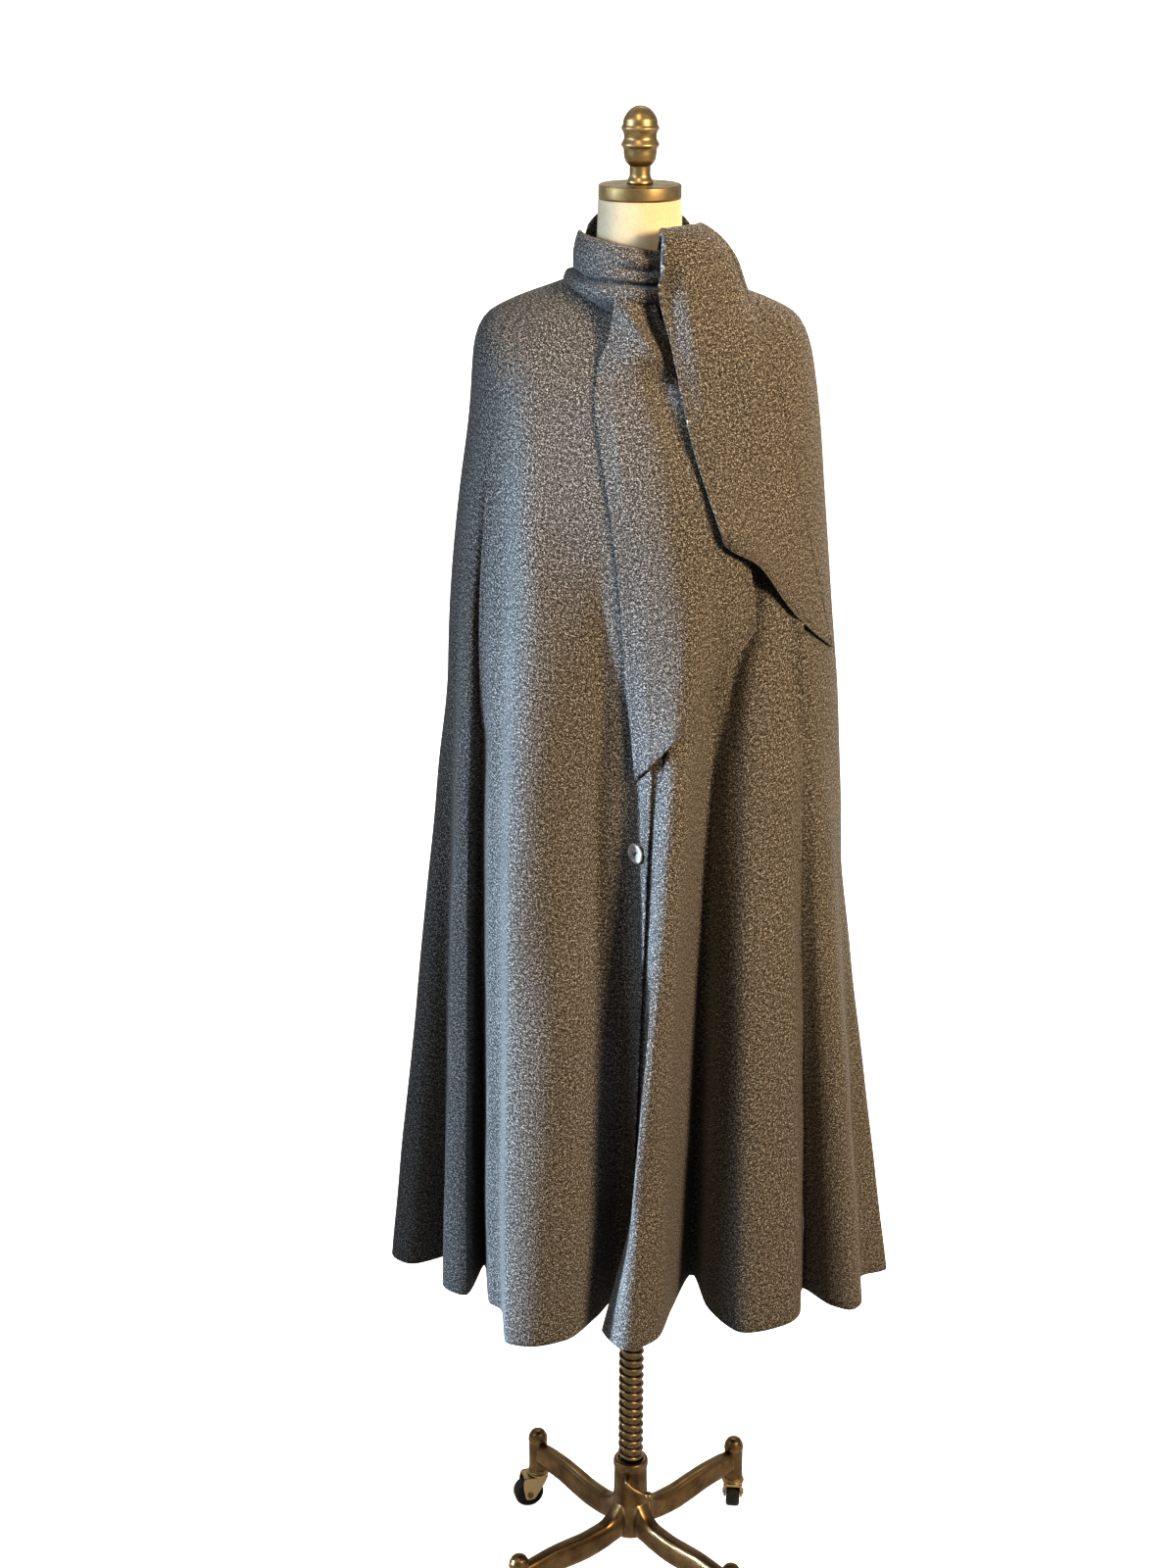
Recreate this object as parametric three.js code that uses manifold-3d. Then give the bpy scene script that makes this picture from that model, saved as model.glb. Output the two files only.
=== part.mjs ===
// Wool cape coat with a tied scarf collar, standing on a dress form. Millimetres, +Z up, front towards -Y.
import * as THREE from "three";
import Module from "manifold-3d";

const wall = 2; // cape cloth
const scarfWall = 2.4;
const seamGap = 0.3;
const hemHeight = 468;
const foldGrowth = 1.12; // how the folds deepen on the way down
const lapTurn = 5.2; // degrees the left front runs in under the right front
const lapEnd = 760; // height where the underlap has run out
const lapFree = 610; // height below which the left front's edge hangs free
const lapFrom = 5.4; // columns up to this turn take part in the lap
const plateRadius = 44;
const neckTop = 1749;
const plateTop = 1764;
const poleRadius = 16;
const ribPitch = 12;
const poleFoot = 64;
const torsoFoot = 1000;
const hubTop = 172;
const hubFoot = 64;
const legTurn = -4; // the base stands turned by this
const casterCircle = 186;
const socketRadius = 13;
const socketFoot = 52;
const wheelRadius = 20;
const wheelWidth = 18;
const wheelSides = 20;
const casterTrail = 14;
const buttonRadius = 11.5;

const wasm = await Module();
wasm.setup();
const rad = (degrees) => (degrees * Math.PI) / 180;
const mix = (a, b, t) => a + (b - a) * t;
const clamp = (x, low, high) => Math.min(Math.max(x, low), high);
const smooth = (t) => {
  const s = clamp(t, 0, 1);
  return s * s * (3 - 2 * s);
};

// Smooth table lookup without overshoot: rows hold a key column and value columns.
function curve(rows, key, column) {
  const x = rows.map((r) => r[key]);
  const y = rows.map((r) => r[column]);
  const n = x.length;
  const slope = [];
  for (let i = 0; i < n - 1; i++) slope.push((y[i + 1] - y[i]) / (x[i + 1] - x[i]));
  const lean = [slope[0]];
  for (let i = 1; i < n - 1; i++) {
    const flat = slope[i - 1] * slope[i] <= 0;
    lean.push(flat ? 0 : (2 * slope[i - 1] * slope[i]) / (slope[i - 1] + slope[i]));
  }
  lean.push(slope[n - 2]);
  return (at) => {
    const p = clamp(at, x[0], x[n - 1]);
    let i = 0;
    while (i < n - 2 && p > x[i + 1]) i++;
    const h = x[i + 1] - x[i];
    const t = (p - x[i]) / h;
    const a = (1 + 2 * t) * (1 - t) * (1 - t) * y[i] + t * (1 - t) * (1 - t) * h * lean[i];
    return a + t * t * (3 - 2 * t) * y[i + 1] + t * t * (t - 1) * h * lean[i + 1];
  };
}

// Rings of the cape from neck to hem before the folds: reach to each side, and height there.
const rings = [
  { ring: 0, left: 55, right: 55, front: 57, back: 55, sideZ: 1672, frontZ: 1640, backZ: 1680 },
  { ring: 1, left: 95, right: 98, front: 80, back: 80, sideZ: 1659, frontZ: 1606, backZ: 1646 },
  { ring: 2, left: 139, right: 143, front: 100, back: 99, sideZ: 1643, frontZ: 1566, backZ: 1606 },
  { ring: 3, left: 165, right: 170, front: 113, back: 111, sideZ: 1627, frontZ: 1536, backZ: 1576 },
  { ring: 4, left: 177, right: 184, front: 121, back: 119, sideZ: 1600, frontZ: 1508, backZ: 1548 },
  { ring: 5, left: 184, right: 197, front: 133, back: 127, sideZ: 1524, frontZ: 1456, backZ: 1490 },
  { ring: 6, left: 197, right: 206, front: 141, back: 133, sideZ: 1430, frontZ: 1400, backZ: 1415 },
  { ring: 7, left: 209, right: 217, front: 146, back: 141, sideZ: 1310, frontZ: 1305, backZ: 1308 },
  { ring: 8, left: 214, right: 228, front: 152, back: 149, sideZ: 1200, frontZ: 1200, backZ: 1200 },
  { ring: 9, left: 222, right: 235, front: 157, back: 157, sideZ: 1090, frontZ: 1090, backZ: 1090 },
  { ring: 10, left: 229, right: 240, front: 161, back: 165, sideZ: 980, frontZ: 980, backZ: 980 },
  { ring: 11, left: 235, right: 248, front: 164, back: 172, sideZ: 870, frontZ: 870, backZ: 870 },
  { ring: 12, left: 241, right: 256, front: 166, back: 178, sideZ: 760, frontZ: 760, backZ: 760 },
  { ring: 13, left: 247, right: 263, front: 168, back: 184, sideZ: 660, frontZ: 660, backZ: 660 },
  { ring: 14, left: 252, right: 270, front: 170, back: 189, sideZ: 562, frontZ: 562, backZ: 562 },
  { ring: 15, left: 256, right: 275, front: 172, back: 194, sideZ: hemHeight, frontZ: hemHeight, backZ: hemHeight },
];
const lastRing = rings.length - 1;

// Ridges and valleys once round, from the left front's free edge by the back to the right front's edge:
// turn is the place on the rings (0 in front, 90 at the wearer's left), x and y the place at the hem,
// start the height where the fold begins.
const folds = [
  { name: "edge left", turn: 4, x: -38, y: -166, start: 740 },
  { name: "E lap", turn: 5.2, x: -32, y: -182, start: 780 },
  { name: "E crest", turn: 9, x: -10, y: -208, start: 1300 },
  { name: "E face", turn: 13.5, x: 26, y: -184, start: 1350 },
  { name: "E flank", turn: 17, x: 44, y: -122, start: 1400 },
  { name: "EF valley", turn: 22, x: 72, y: -42, start: 1420 },
  { name: "F flank", turn: 27.5, x: 88, y: -116, start: 1400 },
  { name: "F crest", turn: 34, x: 128, y: -171, start: 1400 },
  { name: "F face", turn: 43, x: 176, y: -155, start: 1350 },
  { name: "F side", turn: 48, x: 196, y: -132, start: 1300 },
  { name: "FG valley", turn: 53, x: 205, y: -74, start: 1290 },
  { name: "G flank", turn: 58, x: 236, y: -112, start: 1250 },
  { name: "G crest", turn: 63, x: 258, y: -122, start: 1200 },
  { name: "G side", turn: 68, x: 273, y: -104, start: 1150 },
  { name: "GH valley", turn: 74, x: 276, y: -50, start: 1100 },
  { name: "H crest", turn: 84, x: 311, y: -28, start: 1000 },
  { name: "H side", turn: 91, x: 300, y: 14, start: 1000 },
  { name: "HI valley", turn: 101, x: 248, y: 42, start: 1250 },
  { name: "I crest", turn: 113, x: 268, y: 108, start: 1150 },
  { name: "IJ valley", turn: 125, x: 186, y: 104, start: 1400 },
  { name: "J crest", turn: 138, x: 186, y: 182, start: 1250 },
  { name: "JK valley", turn: 151, x: 106, y: 128, start: 1450 },
  { name: "K crest", turn: 164, x: 72, y: 212, start: 1300 },
  { name: "KL valley", turn: 177, x: 8, y: 150, start: 1450 },
  { name: "L crest", turn: 190, x: -52, y: 214, start: 1300 },
  { name: "LM valley", turn: 204, x: -104, y: 132, start: 1450 },
  { name: "M crest", turn: 218, x: -172, y: 188, start: 1250 },
  { name: "MN valley", turn: 231, x: -178, y: 104, start: 1400 },
  { name: "N crest", turn: 244, x: -250, y: 104, start: 1200 },
  { name: "NA valley", turn: 257, x: -232, y: 40, start: 1300 },
  { name: "A crest", turn: 270, x: -297, y: 4, start: 1225 },
  { name: "A side", turn: 277, x: -272, y: -18, start: 1225 },
  { name: "AB valley", turn: 286, x: -230, y: 2, start: 1300 },
  { name: "B flank", turn: 291, x: -230, y: -64, start: 1450 },
  { name: "B crest", turn: 296, x: -208, y: -88, start: 1500 },
  { name: "BC valley", turn: 303, x: -184, y: -20, start: 1500 },
  { name: "C crest", turn: 309, x: -173, y: -106, start: 1480 },
  { name: "CD valley", turn: 314, x: -158, y: -122, start: 1450 },
  { name: "D flank", turn: 320, x: -148, y: -182, start: 1450 },
  { name: "D crest", turn: 331, x: -120, y: -200, start: 1420 },
  { name: "D face", turn: 343, x: -80, y: -186, start: 1400 },
  { name: "D side", turn: 352, x: -44, y: -136, start: 1380 },
  { name: "DE valley", turn: 358, x: -22, y: -98, start: 1350 },
  { name: "edge right", turn: 363.4, x: -8, y: -108, start: 1150 },
];
const place = Object.fromEntries(folds.map((f) => [f.name, f.turn]));
const columns = ["left", "right", "front", "back", "sideZ", "frontZ", "backZ"];
const ringAt = Object.fromEntries(columns.map((c) => [c, curve(rings, "ring", c)]));
const foldAt = Object.fromEntries(["x", "y", "start"].map((c) => [c, curve(folds, "turn", c)]));

// The unfolded cape at a turn on a ring.
function bare(turn, ring) {
  const s = Math.sin(rad(turn));
  const c = Math.cos(rad(turn));
  const x = s * (s < 0 ? ringAt.left(ring) : ringAt.right(ring));
  const y = -c * (c > 0 ? ringAt.front(ring) : ringAt.back(ring));
  const ends = c > 0 ? ringAt.frontZ(ring) : ringAt.backZ(ring);
  return new THREE.Vector3(x, y, mix(ends, ringAt.sideZ(ring), s * s));
}

// The folded cape.
function cape(turn, ring) {
  const p = bare(turn, ring);
  const start = foldAt.start(turn);
  const deep = Math.pow(clamp((start - p.z) / (start - hemHeight), 0, 1), foldGrowth);
  const hem = bare(turn, lastRing);
  p.x += (foldAt.x(turn) - hem.x) * deep;
  p.y += (foldAt.y(turn) - hem.y) * deep;
  return p;
}

function facing(turn, ring) {
  const along = cape(turn + 0.3, ring).sub(cape(turn - 0.3, ring));
  const down = cape(turn, Math.min(ring + 0.03, lastRing)).sub(cape(turn, Math.max(ring - 0.03, 0)));
  return down.cross(along).normalize();
}

// The left front's first columns lie behind the right front's edge, and come out past it near the hem.
function leftFront(turn, ring) {
  const p = cape(turn, ring);
  if (turn >= lapFrom) return p;
  const hold = smooth((p.z - lapFree) / 130);
  const tuck = turn === place["edge left"] ? smooth((p.z - lapEnd) / 240) : 0;
  const target = mix(turn === place["edge left"] ? 3.7 : 4.2, 3.7 - lapTurn, tuck);
  const last = place["edge right"] - 360;
  const at = Math.min(target, last) + 360;
  const behind = cape(at, ring).addScaledVector(facing(at, ring), -wall - 0.9);
  behind.x += Math.max(target - last, 0) * 4;
  return p.lerp(behind, hold);
}

// A closed mesh from corner points and faces, turned to face out.
function closed(points, faces) {
  let volume = 0;
  for (const [a, b, c] of faces) volume += points[a].dot(points[b].clone().cross(points[c]));
  const index = faces.flatMap(([a, b, c]) => (volume < 0 ? [a, c, b] : [a, b, c]));
  const geometry = new THREE.BufferGeometry();
  geometry.setAttribute("position", new THREE.Float32BufferAttribute(points.flatMap((p) => p.toArray()), 3));
  geometry.setIndex(index);
  geometry.computeVertexNormals();
  return geometry;
}

// A wall from a grid of outer points and the grid of inner points behind it.
function sheet(outer, inner) {
  const rows = outer.length;
  const wide = outer[0].length;
  const points = [...outer.flat(), ...inner.flat()];
  const half = rows * wide;
  const at = (i, j, side) => side * half + i * wide + j;
  const faces = [];
  const quad = (a, b, c, d) => faces.push([a, b, c], [a, c, d]);
  for (let i = 0; i < rows - 1; i++)
    for (let j = 0; j < wide - 1; j++) {
      quad(at(i, j, 0), at(i, j + 1, 0), at(i + 1, j + 1, 0), at(i + 1, j, 0));
      quad(at(i, j, 1), at(i + 1, j, 1), at(i + 1, j + 1, 1), at(i, j + 1, 1));
    }
  for (let j = 0; j < wide - 1; j++) {
    quad(at(0, j, 0), at(0, j, 1), at(0, j + 1, 1), at(0, j + 1, 0));
    quad(at(rows - 1, j, 0), at(rows - 1, j + 1, 0), at(rows - 1, j + 1, 1), at(rows - 1, j, 1));
  }
  for (let i = 0; i < rows - 1; i++) {
    quad(at(i, 0, 0), at(i + 1, 0, 0), at(i + 1, 0, 1), at(i, 0, 1));
    quad(at(i, wide - 1, 0), at(i, wide - 1, 1), at(i + 1, wide - 1, 1), at(i + 1, wide - 1, 0));
  }
  return closed(points, faces);
}

// A wall from outer points alone, thickened inwards along the grid's own normals.
function thicken(outer, thick) {
  const end = outer.length - 1;
  const inner = outer.map((row, i) =>
    row.map((p, j) => {
      const along = row[Math.min(j + 1, row.length - 1)].clone().sub(row[Math.max(j - 1, 0)]);
      const down = outer[Math.min(i + 1, end)][j].clone().sub(outer[Math.max(i - 1, 0)][j]);
      return p.clone().addScaledVector(down.cross(along).normalize(), -thick);
    }),
  );
  return sheet(outer, inner);
}

// Solid through rings of points, closed at both ends.
function loft(sections) {
  const wide = sections[0].length;
  const points = sections.flat();
  const faces = [];
  for (let i = 0; i < sections.length - 1; i++)
    for (let j = 0; j < wide; j++) {
      const a = i * wide + j;
      const b = i * wide + ((j + 1) % wide);
      faces.push([a, b, b + wide], [a, b + wide, a + wide]);
    }
  const cap = (base, turned) => {
    const middle = points.length;
    const centre = new THREE.Vector3();
    for (let j = 0; j < wide; j++) centre.addScaledVector(points[base + j], 1 / wide);
    points.push(centre);
    for (let j = 0; j < wide; j++) {
      const a = base + j;
      const b = base + ((j + 1) % wide);
      faces.push(turned ? [middle, b, a] : [middle, a, b]);
    }
  };
  cap(0, true);
  cap((sections.length - 1) * wide, false);
  return closed(points, faces);
}

// A turned piece from rows of radius and height, first and last row on the axis.
function turned(rows, sides, x = 0, y = 0) {
  const sections = rows.map((row) =>
    Array.from({ length: sides }, (_, j) => {
      const a = rad((360 * (j + 0.5)) / sides);
      return new THREE.Vector3(x + row.radius * Math.cos(a), y + row.radius * Math.sin(a), row.height);
    }),
  );
  return loft(sections);
}

// A round bar along rows of centre and radius.
function rod(rows, sides) {
  const spine = rows.map((r) => new THREE.Vector3(r.x, r.y, r.z));
  const sections = rows.map((row, i) => {
    const ahead = spine[Math.min(i + 1, spine.length - 1)].clone().sub(spine[Math.max(i - 1, 0)]).normalize();
    const across = new THREE.Vector3(0, 0, 1).cross(ahead);
    if (across.length() < 0.2) across.set(1, 0, 0);
    across.addScaledVector(ahead, -across.dot(ahead)).normalize();
    const up = ahead.clone().cross(across);
    return Array.from({ length: sides }, (_, j) => {
      const a = (2 * Math.PI * j) / sides;
      return spine[i]
        .clone()
        .addScaledVector(across, row.r * Math.cos(a))
        .addScaledVector(up, row.r * Math.sin(a));
    });
  });
  return loft(sections);
}

function solid(geometry) {
  const position = geometry.getAttribute("position").array;
  const mesh = new wasm.Mesh({
    numProp: 3,
    vertProperties: new Float32Array(position),
    triVerts: new Uint32Array(geometry.index.array),
  });
  mesh.merge();
  return new wasm.Manifold(mesh);
}

function meshed(manifold) {
  const mesh = manifold.getMesh();
  const geometry = new THREE.BufferGeometry();
  geometry.setAttribute("position", new THREE.BufferAttribute(new Float32Array(mesh.vertProperties), 3));
  geometry.setIndex(new THREE.BufferAttribute(new Uint32Array(mesh.triVerts), 1));
  geometry.computeVertexNormals();
  return geometry;
}

const looks = {
  wool: new THREE.MeshStandardMaterial({ color: 0x5f5d5e, roughness: 0.95 }),
  cover: new THREE.MeshStandardMaterial({ color: 0xe2d6c2, roughness: 0.85 }),
  brass: new THREE.MeshStandardMaterial({ color: 0x7d6a45, roughness: 0.4, metalness: 0.9 }),
  tyre: new THREE.MeshStandardMaterial({ color: 0x232326, roughness: 0.6 }),
  horn: new THREE.MeshStandardMaterial({ color: 0x6d6c66, roughness: 0.35 }),
};
const group = new THREE.Group();
function add(name, geometry, look) {
  const mesh = new THREE.Mesh(geometry, looks[look]);
  mesh.name = name;
  group.add(mesh);
}

// Stops between two turns: the fold rows there and the middles between them.
function stops(from, to) {
  const ends = folds.map((f) => f.turn).filter((t) => t >= from && t <= to);
  return ends.flatMap((t, i) => {
    if (!i) return [t];
    const before = ends[i - 1];
    const shares = t - before > 8.5 ? [0.28, 0.72] : [0.5];
    return [...shares.map((share) => mix(before, t, share)), t];
  });
}

// Cape panels. The seam gap is kept by moving each seam edge along its ring.
const ringStops = [0, 1, 2, 3, 4, 5, 6, 7, 8, 9.5, 11, 12, 13, 15];
function panel(surface, from, to, seamFrom, seamTo) {
  const turns = stops(from, to);
  const outer = ringStops.map((ring) => turns.map((turn) => surface(turn, ring)));
  const inner = outer.map((row, i) =>
    row.map((p, j) => {
      const seam = (j === 0 && seamFrom) || (j === row.length - 1 && seamTo);
      if (seam) return p.clone().addScaledVector(facing(turns[j], ringStops[i]), -wall);
      const along = row[Math.min(j + 1, row.length - 1)].clone().sub(row[Math.max(j - 1, 0)]);
      const down = outer[Math.min(i + 1, outer.length - 1)][j].clone().sub(outer[Math.max(i - 1, 0)][j]);
      return p.clone().addScaledVector(down.cross(along).normalize(), -wall);
    }),
  );
  const part = (edge, next) => {
    for (let i = 0; i < ringStops.length; i++) {
      const step = outer[i][next].clone().sub(outer[i][edge]).normalize().multiplyScalar(seamGap * 0.6);
      outer[i][edge].add(step);
      inner[i][edge].add(step);
    }
  };
  if (seamFrom) part(0, 1);
  if (seamTo) part(turns.length - 1, turns.length - 2);
  return sheet(outer, inner);
}
add("front_left", panel(leftFront, place["edge left"], place["FG valley"], false, true), "wool");
add("back", panel(cape, place["FG valley"], place["BC valley"], true, true), "wool");
add("front_right", panel(cape, place["BC valley"], place["edge right"], true, false), "wool");

// Where the bare cape has the given height at a turn, and where it has the given x at that height.
function ringOf(turn, z) {
  let low = 0;
  let high = lastRing;
  for (let k = 0; k < 30; k++) {
    const middle = (low + high) / 2;
    if (bare(turn, middle).z > z) low = middle;
    else high = middle;
  }
  return (low + high) / 2;
}
function bareFacing(turn, ring) {
  const along = bare(turn + 0.3, ring).sub(bare(turn - 0.3, ring));
  const down = bare(turn, Math.min(ring + 0.03, lastRing)).sub(bare(turn, Math.max(ring - 0.03, 0)));
  return down.cross(along).normalize();
}
function onCape(x, z, lift) {
  let low = -88;
  let high = 88;
  for (let k = 0; k < 30; k++) {
    const middle = (low + high) / 2;
    if (bare(middle, ringOf(middle, z)).x < x) low = middle;
    else high = middle;
  }
  const turn = (low + high) / 2;
  const ring = ringOf(turn, z);
  return bare(turn, ring).addScaledVector(bareFacing(turn, ring), lift);
}

// Scarf tails as rows from edge to edge. Rows with y hang clear with a crown, the others lie on the cape.
const centreTail = [
  { x1: -26, y1: -84, z1: 1653, x2: 16, y2: -84, z2: 1653, crown: 3 },
  { x1: -30, y1: -93, z1: 1622, x2: 26, y2: -94, z2: 1626, crown: 5 },
  { x1: -42, y1: -99, z1: 1590, x2: 42, y2: -100, z2: 1598, crown: 6 },
  { x1: -47, z1: 1560, x2: 55, z2: 1572, lift1: 5, lift2: 6 },
  { x1: -44, z1: 1530, x2: 66, z2: 1545, lift1: 3.4, lift2: 5 },
  { x1: -35, z1: 1470, x2: 87, z2: 1492, lift1: 3.2, lift2: 5 },
  { x1: -25, z1: 1400, x2: 105, z2: 1430, lift1: 5, lift2: 5 },
  { x1: -18, z1: 1320, x2: 118, z2: 1380, lift1: 9, lift2: 6 },
  { x1: -12, z1: 1235, x2: 124, z2: 1340, lift1: 13, lift2: 8 },
  { x1: -5, z1: 1163, x2: 126, z2: 1312, lift1: 17, lift2: 10 },
];
const sideTail = [
  { x1: 15, y1: -53, z1: 1690, x2: 51, y2: -18, z2: 1692, crown: 2 },
  { x1: 19, y1: -57, z1: 1714, x2: 55, y2: -21, z2: 1714, crown: 2 },
  { x1: 25, y1: -68, z1: 1727, x2: 63, y2: -32, z2: 1728, crown: 4 },
  { x1: 26, y1: -84, z1: 1717, x2: 82, y2: -38, z2: 1717, crown: 10 },
  { x1: 21, y1: -95, z1: 1692, x2: 100, y2: -38, z2: 1695, crown: 15 },
  { x1: 21, y1: -101, z1: 1656, x2: 114, y2: -36, z2: 1658, crown: 18 },
  { x1: 30, y1: -108, z1: 1618, x2: 134, y2: -62, z2: 1619, crown: 13 },
  { x1: 45, z1: 1560, x2: 148, z2: 1562, lift1: 16, lift2: 9 },
  { x1: 54, z1: 1512, x2: 163, z2: 1500, lift1: 14, lift2: 5 },
  { x1: 72, z1: 1448, x2: 181, z2: 1422, lift1: 14, lift2: 3.4 },
  { x1: 80, z1: 1422, x2: 197, z2: 1345, lift1: 15, lift2: 4 },
  { x1: 85, z1: 1406, x2: 214, z2: 1267, lift1: 16, lift2: 6 },
];
function tailPoints(rows, across) {
  return rows.map((row) =>
    Array.from({ length: across + 1 }, (_, j) => {
      const t = j / across;
      const x = mix(row.x1, row.x2, t);
      const z = mix(row.z1, row.z2, t);
      if (row.y1 === undefined) return onCape(x, z, mix(row.lift1, row.lift2, t));
      const out = new THREE.Vector2(row.y2 - row.y1, row.x1 - row.x2).normalize();
      const bow = 4 * t * (1 - t) * row.crown;
      return new THREE.Vector3(x + out.x * bow, mix(row.y1, row.y2, t) + out.y * bow, z);
    }),
  );
}
add("scarf_tail_centre", thicken(tailPoints(centreTail, 8), scarfWall), "wool");
add("scarf_tail_side", thicken(tailPoints(sideTail, 8), scarfWall), "wool");

// Bands round the neck: rows from top to bottom, radius and height by turn.
const backStand = { from: 86, to: 252, steps: 16, foot: 57.6, belly: 62, rim: 58, sideTop: 1714, backTop: 1735 };
const frontWrap = { from: 252.4, to: 388, steps: 16, frontReach: 1.12 };
const wrapProfile = [
  { part: 0, radius: 61.5, rise: 1 },
  { part: 1, radius: 67, rise: 0.97 },
  { part: 2, radius: 73, rise: 0.78 },
  { part: 3, radius: 76, rise: 0.5 },
  { part: 4, radius: 76.5, rise: 0.22 },
  { part: 5, radius: 73, rise: 0 },
];
function span(from, to, steps) {
  return Array.from({ length: steps + 1 }, (_, k) => mix(from, to, k / steps));
}
const standTurns = span(backStand.from, backStand.to, backStand.steps);
const standRows = [0, 0.35, 0.7, 1].map((part) =>
  standTurns.map((turn) => {
    const s = Math.sin(rad(turn));
    const c = Math.cos(rad(turn));
    const foot = bare(turn, 0).z + 0.5;
    const top = mix(backStand.sideTop, backStand.backTop, smooth(Math.max(-c, 0)));
    const belly = Math.sin(Math.PI * part) * (backStand.belly - backStand.foot);
    const reach = mix(backStand.rim, backStand.foot, part) + belly;
    return new THREE.Vector3(reach * s, -reach * c, mix(top, foot, part));
  }),
);
add("scarf_stand_back", thicken(standRows, scarfWall), "wool");
const wrapTurns = span(frontWrap.from, frontWrap.to, frontWrap.steps);
const wrapRows = wrapProfile.map((row) =>
  wrapTurns.map((turn) => {
    const s = Math.sin(rad(turn));
    const c = Math.cos(rad(turn));
    const along = (turn - frontWrap.from) / (frontWrap.to - frontWrap.from);
    const top = mix(1715, 1700, along * along);
    const foot = mix(1680, 1659, smooth(along * 1.8));
    const near = mix(0.9, 1, smooth(along * 3));
    const stretch = c > 0 ? mix(1, frontWrap.frontReach, c) : 1;
    const reach = row.radius * near;
    return new THREE.Vector3(reach * s, -reach * c * stretch, mix(foot, top, row.rise));
  }),
);
add("scarf_wrap_front", thicken(wrapRows, scarfWall), "wool");

// The button sits on the right front, facing out with the cloth.
const buttonSpot = { turn: 360.9, z: 1061, rise: 1.2 };
const buttonRows = [
  { radius: buttonRadius * 0.8, height: 0 },
  { radius: buttonRadius, height: 1.3 },
  { radius: buttonRadius, height: 2.6 },
  { radius: buttonRadius * 0.86, height: 3.4 },
  { radius: buttonRadius * 0.7, height: 2.7 },
];
function buttonMesh() {
  let low = 0;
  let high = lastRing;
  for (let k = 0; k < 30; k++) {
    const middle = (low + high) / 2;
    if (cape(buttonSpot.turn, middle).z > buttonSpot.z) low = middle;
    else high = middle;
  }
  const out = facing(buttonSpot.turn, low);
  const geometry = turned(buttonRows, 24);
  geometry.applyQuaternion(new THREE.Quaternion().setFromUnitVectors(new THREE.Vector3(0, 0, 1), out));
  const spot = cape(buttonSpot.turn, low).addScaledVector(out, buttonSpot.rise);
  geometry.translate(spot.x, spot.y, spot.z);
  return geometry;
}
add("button", buttonMesh(), "horn");

// Dress form: lower sections by size, shoulders from the cape's own rings moved in, then the neck.
const torsoRows = [
  { height: torsoFoot, side: 144, front: 94, back: 104 },
  { height: torsoFoot + 20, side: 150, front: 98, back: 110 },
  { height: 1090, side: 154, front: 100, back: 113 },
  { height: 1180, side: 134, front: 93, back: 98 },
  { height: 1270, side: 118, front: 90, back: 86 },
  { height: 1350, side: 132, front: 104, back: 96 },
  { height: 1420, side: 150, front: 118, back: 106 },
];
const shoulderRows = [
  { ring: 5, inset: 16 },
  { ring: 4, inset: 6 },
  { ring: 3.4, inset: 4 },
  { ring: 3, inset: wall + 1.2 },
  { ring: 2, inset: wall + 1.2 },
  { ring: 1, inset: wall + 1.5 },
  { ring: 0.45, inset: wall + 3 },
  { ring: 0, inset: 7 },
];
const neckRows = [
  { height: 1682, radius: 48.5 },
  { height: 1700, radius: 46.5 },
  { height: 1722, radius: 45 },
  { height: neckTop, radius: 44 },
];
const torsoTurns = Array.from({ length: 24 }, (_, k) => (360 * k) / 24);
function round(turn, side, front, back, height) {
  const s = Math.sin(rad(turn));
  const c = Math.cos(rad(turn));
  return new THREE.Vector3(side * s, -c * (c > 0 ? front : back), height);
}
const torso = [
  ...torsoRows.map((row) => torsoTurns.map((t) => round(t, row.side, row.front, row.back, row.height))),
  ...shoulderRows.map((row) =>
    torsoTurns.map((t) => {
      const ahead = Math.cos(rad(t));
      const clear = ahead > 0 ? 5 * ahead * ahead : 1.5 * ahead * ahead;
      return bare(t, row.ring).addScaledVector(bareFacing(t, row.ring), -row.inset - clear);
    }),
  ),
  ...neckRows.map((row) => torsoTurns.map((t) => round(t, row.radius, row.radius, row.radius, row.height))),
];
add("form_torso", loft(torso), "cover");

const plateRows = [
  { radius: plateRadius - 1, height: neckTop + 0.3 },
  { radius: plateRadius, height: neckTop + 1.5 },
  { radius: plateRadius, height: plateTop - 1.2 },
  { radius: plateRadius - 1.2, height: plateTop },
];
add("neck_plate", turned(plateRows, 32), "brass");
const finialRows = [
  { rise: 0.3, radius: 14 },
  { rise: 3, radius: 14 },
  { rise: 6, radius: 12 },
  { rise: 8.5, radius: 11 },
  { rise: 18.7, radius: 11 },
  { rise: 20, radius: 13 },
  { rise: 24, radius: 16 },
  { rise: 30, radius: 17.3 },
  { rise: 36, radius: 17.5 },
  { rise: 40, radius: 20.5 },
  { rise: 43, radius: 19 },
  { rise: 46.5, radius: 17 },
  { rise: 52, radius: 17.5 },
  { rise: 57.4, radius: 20.5 },
  { rise: 60, radius: 18.4 },
  { rise: 66, radius: 17.8 },
  { rise: 72, radius: 14.5 },
  { rise: 77, radius: 9.5 },
  { rise: 79.6, radius: 4 },
];
add("finial", turned(finialRows.map((r) => ({ radius: r.radius, height: plateTop + r.rise })), 20), "brass");

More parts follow.
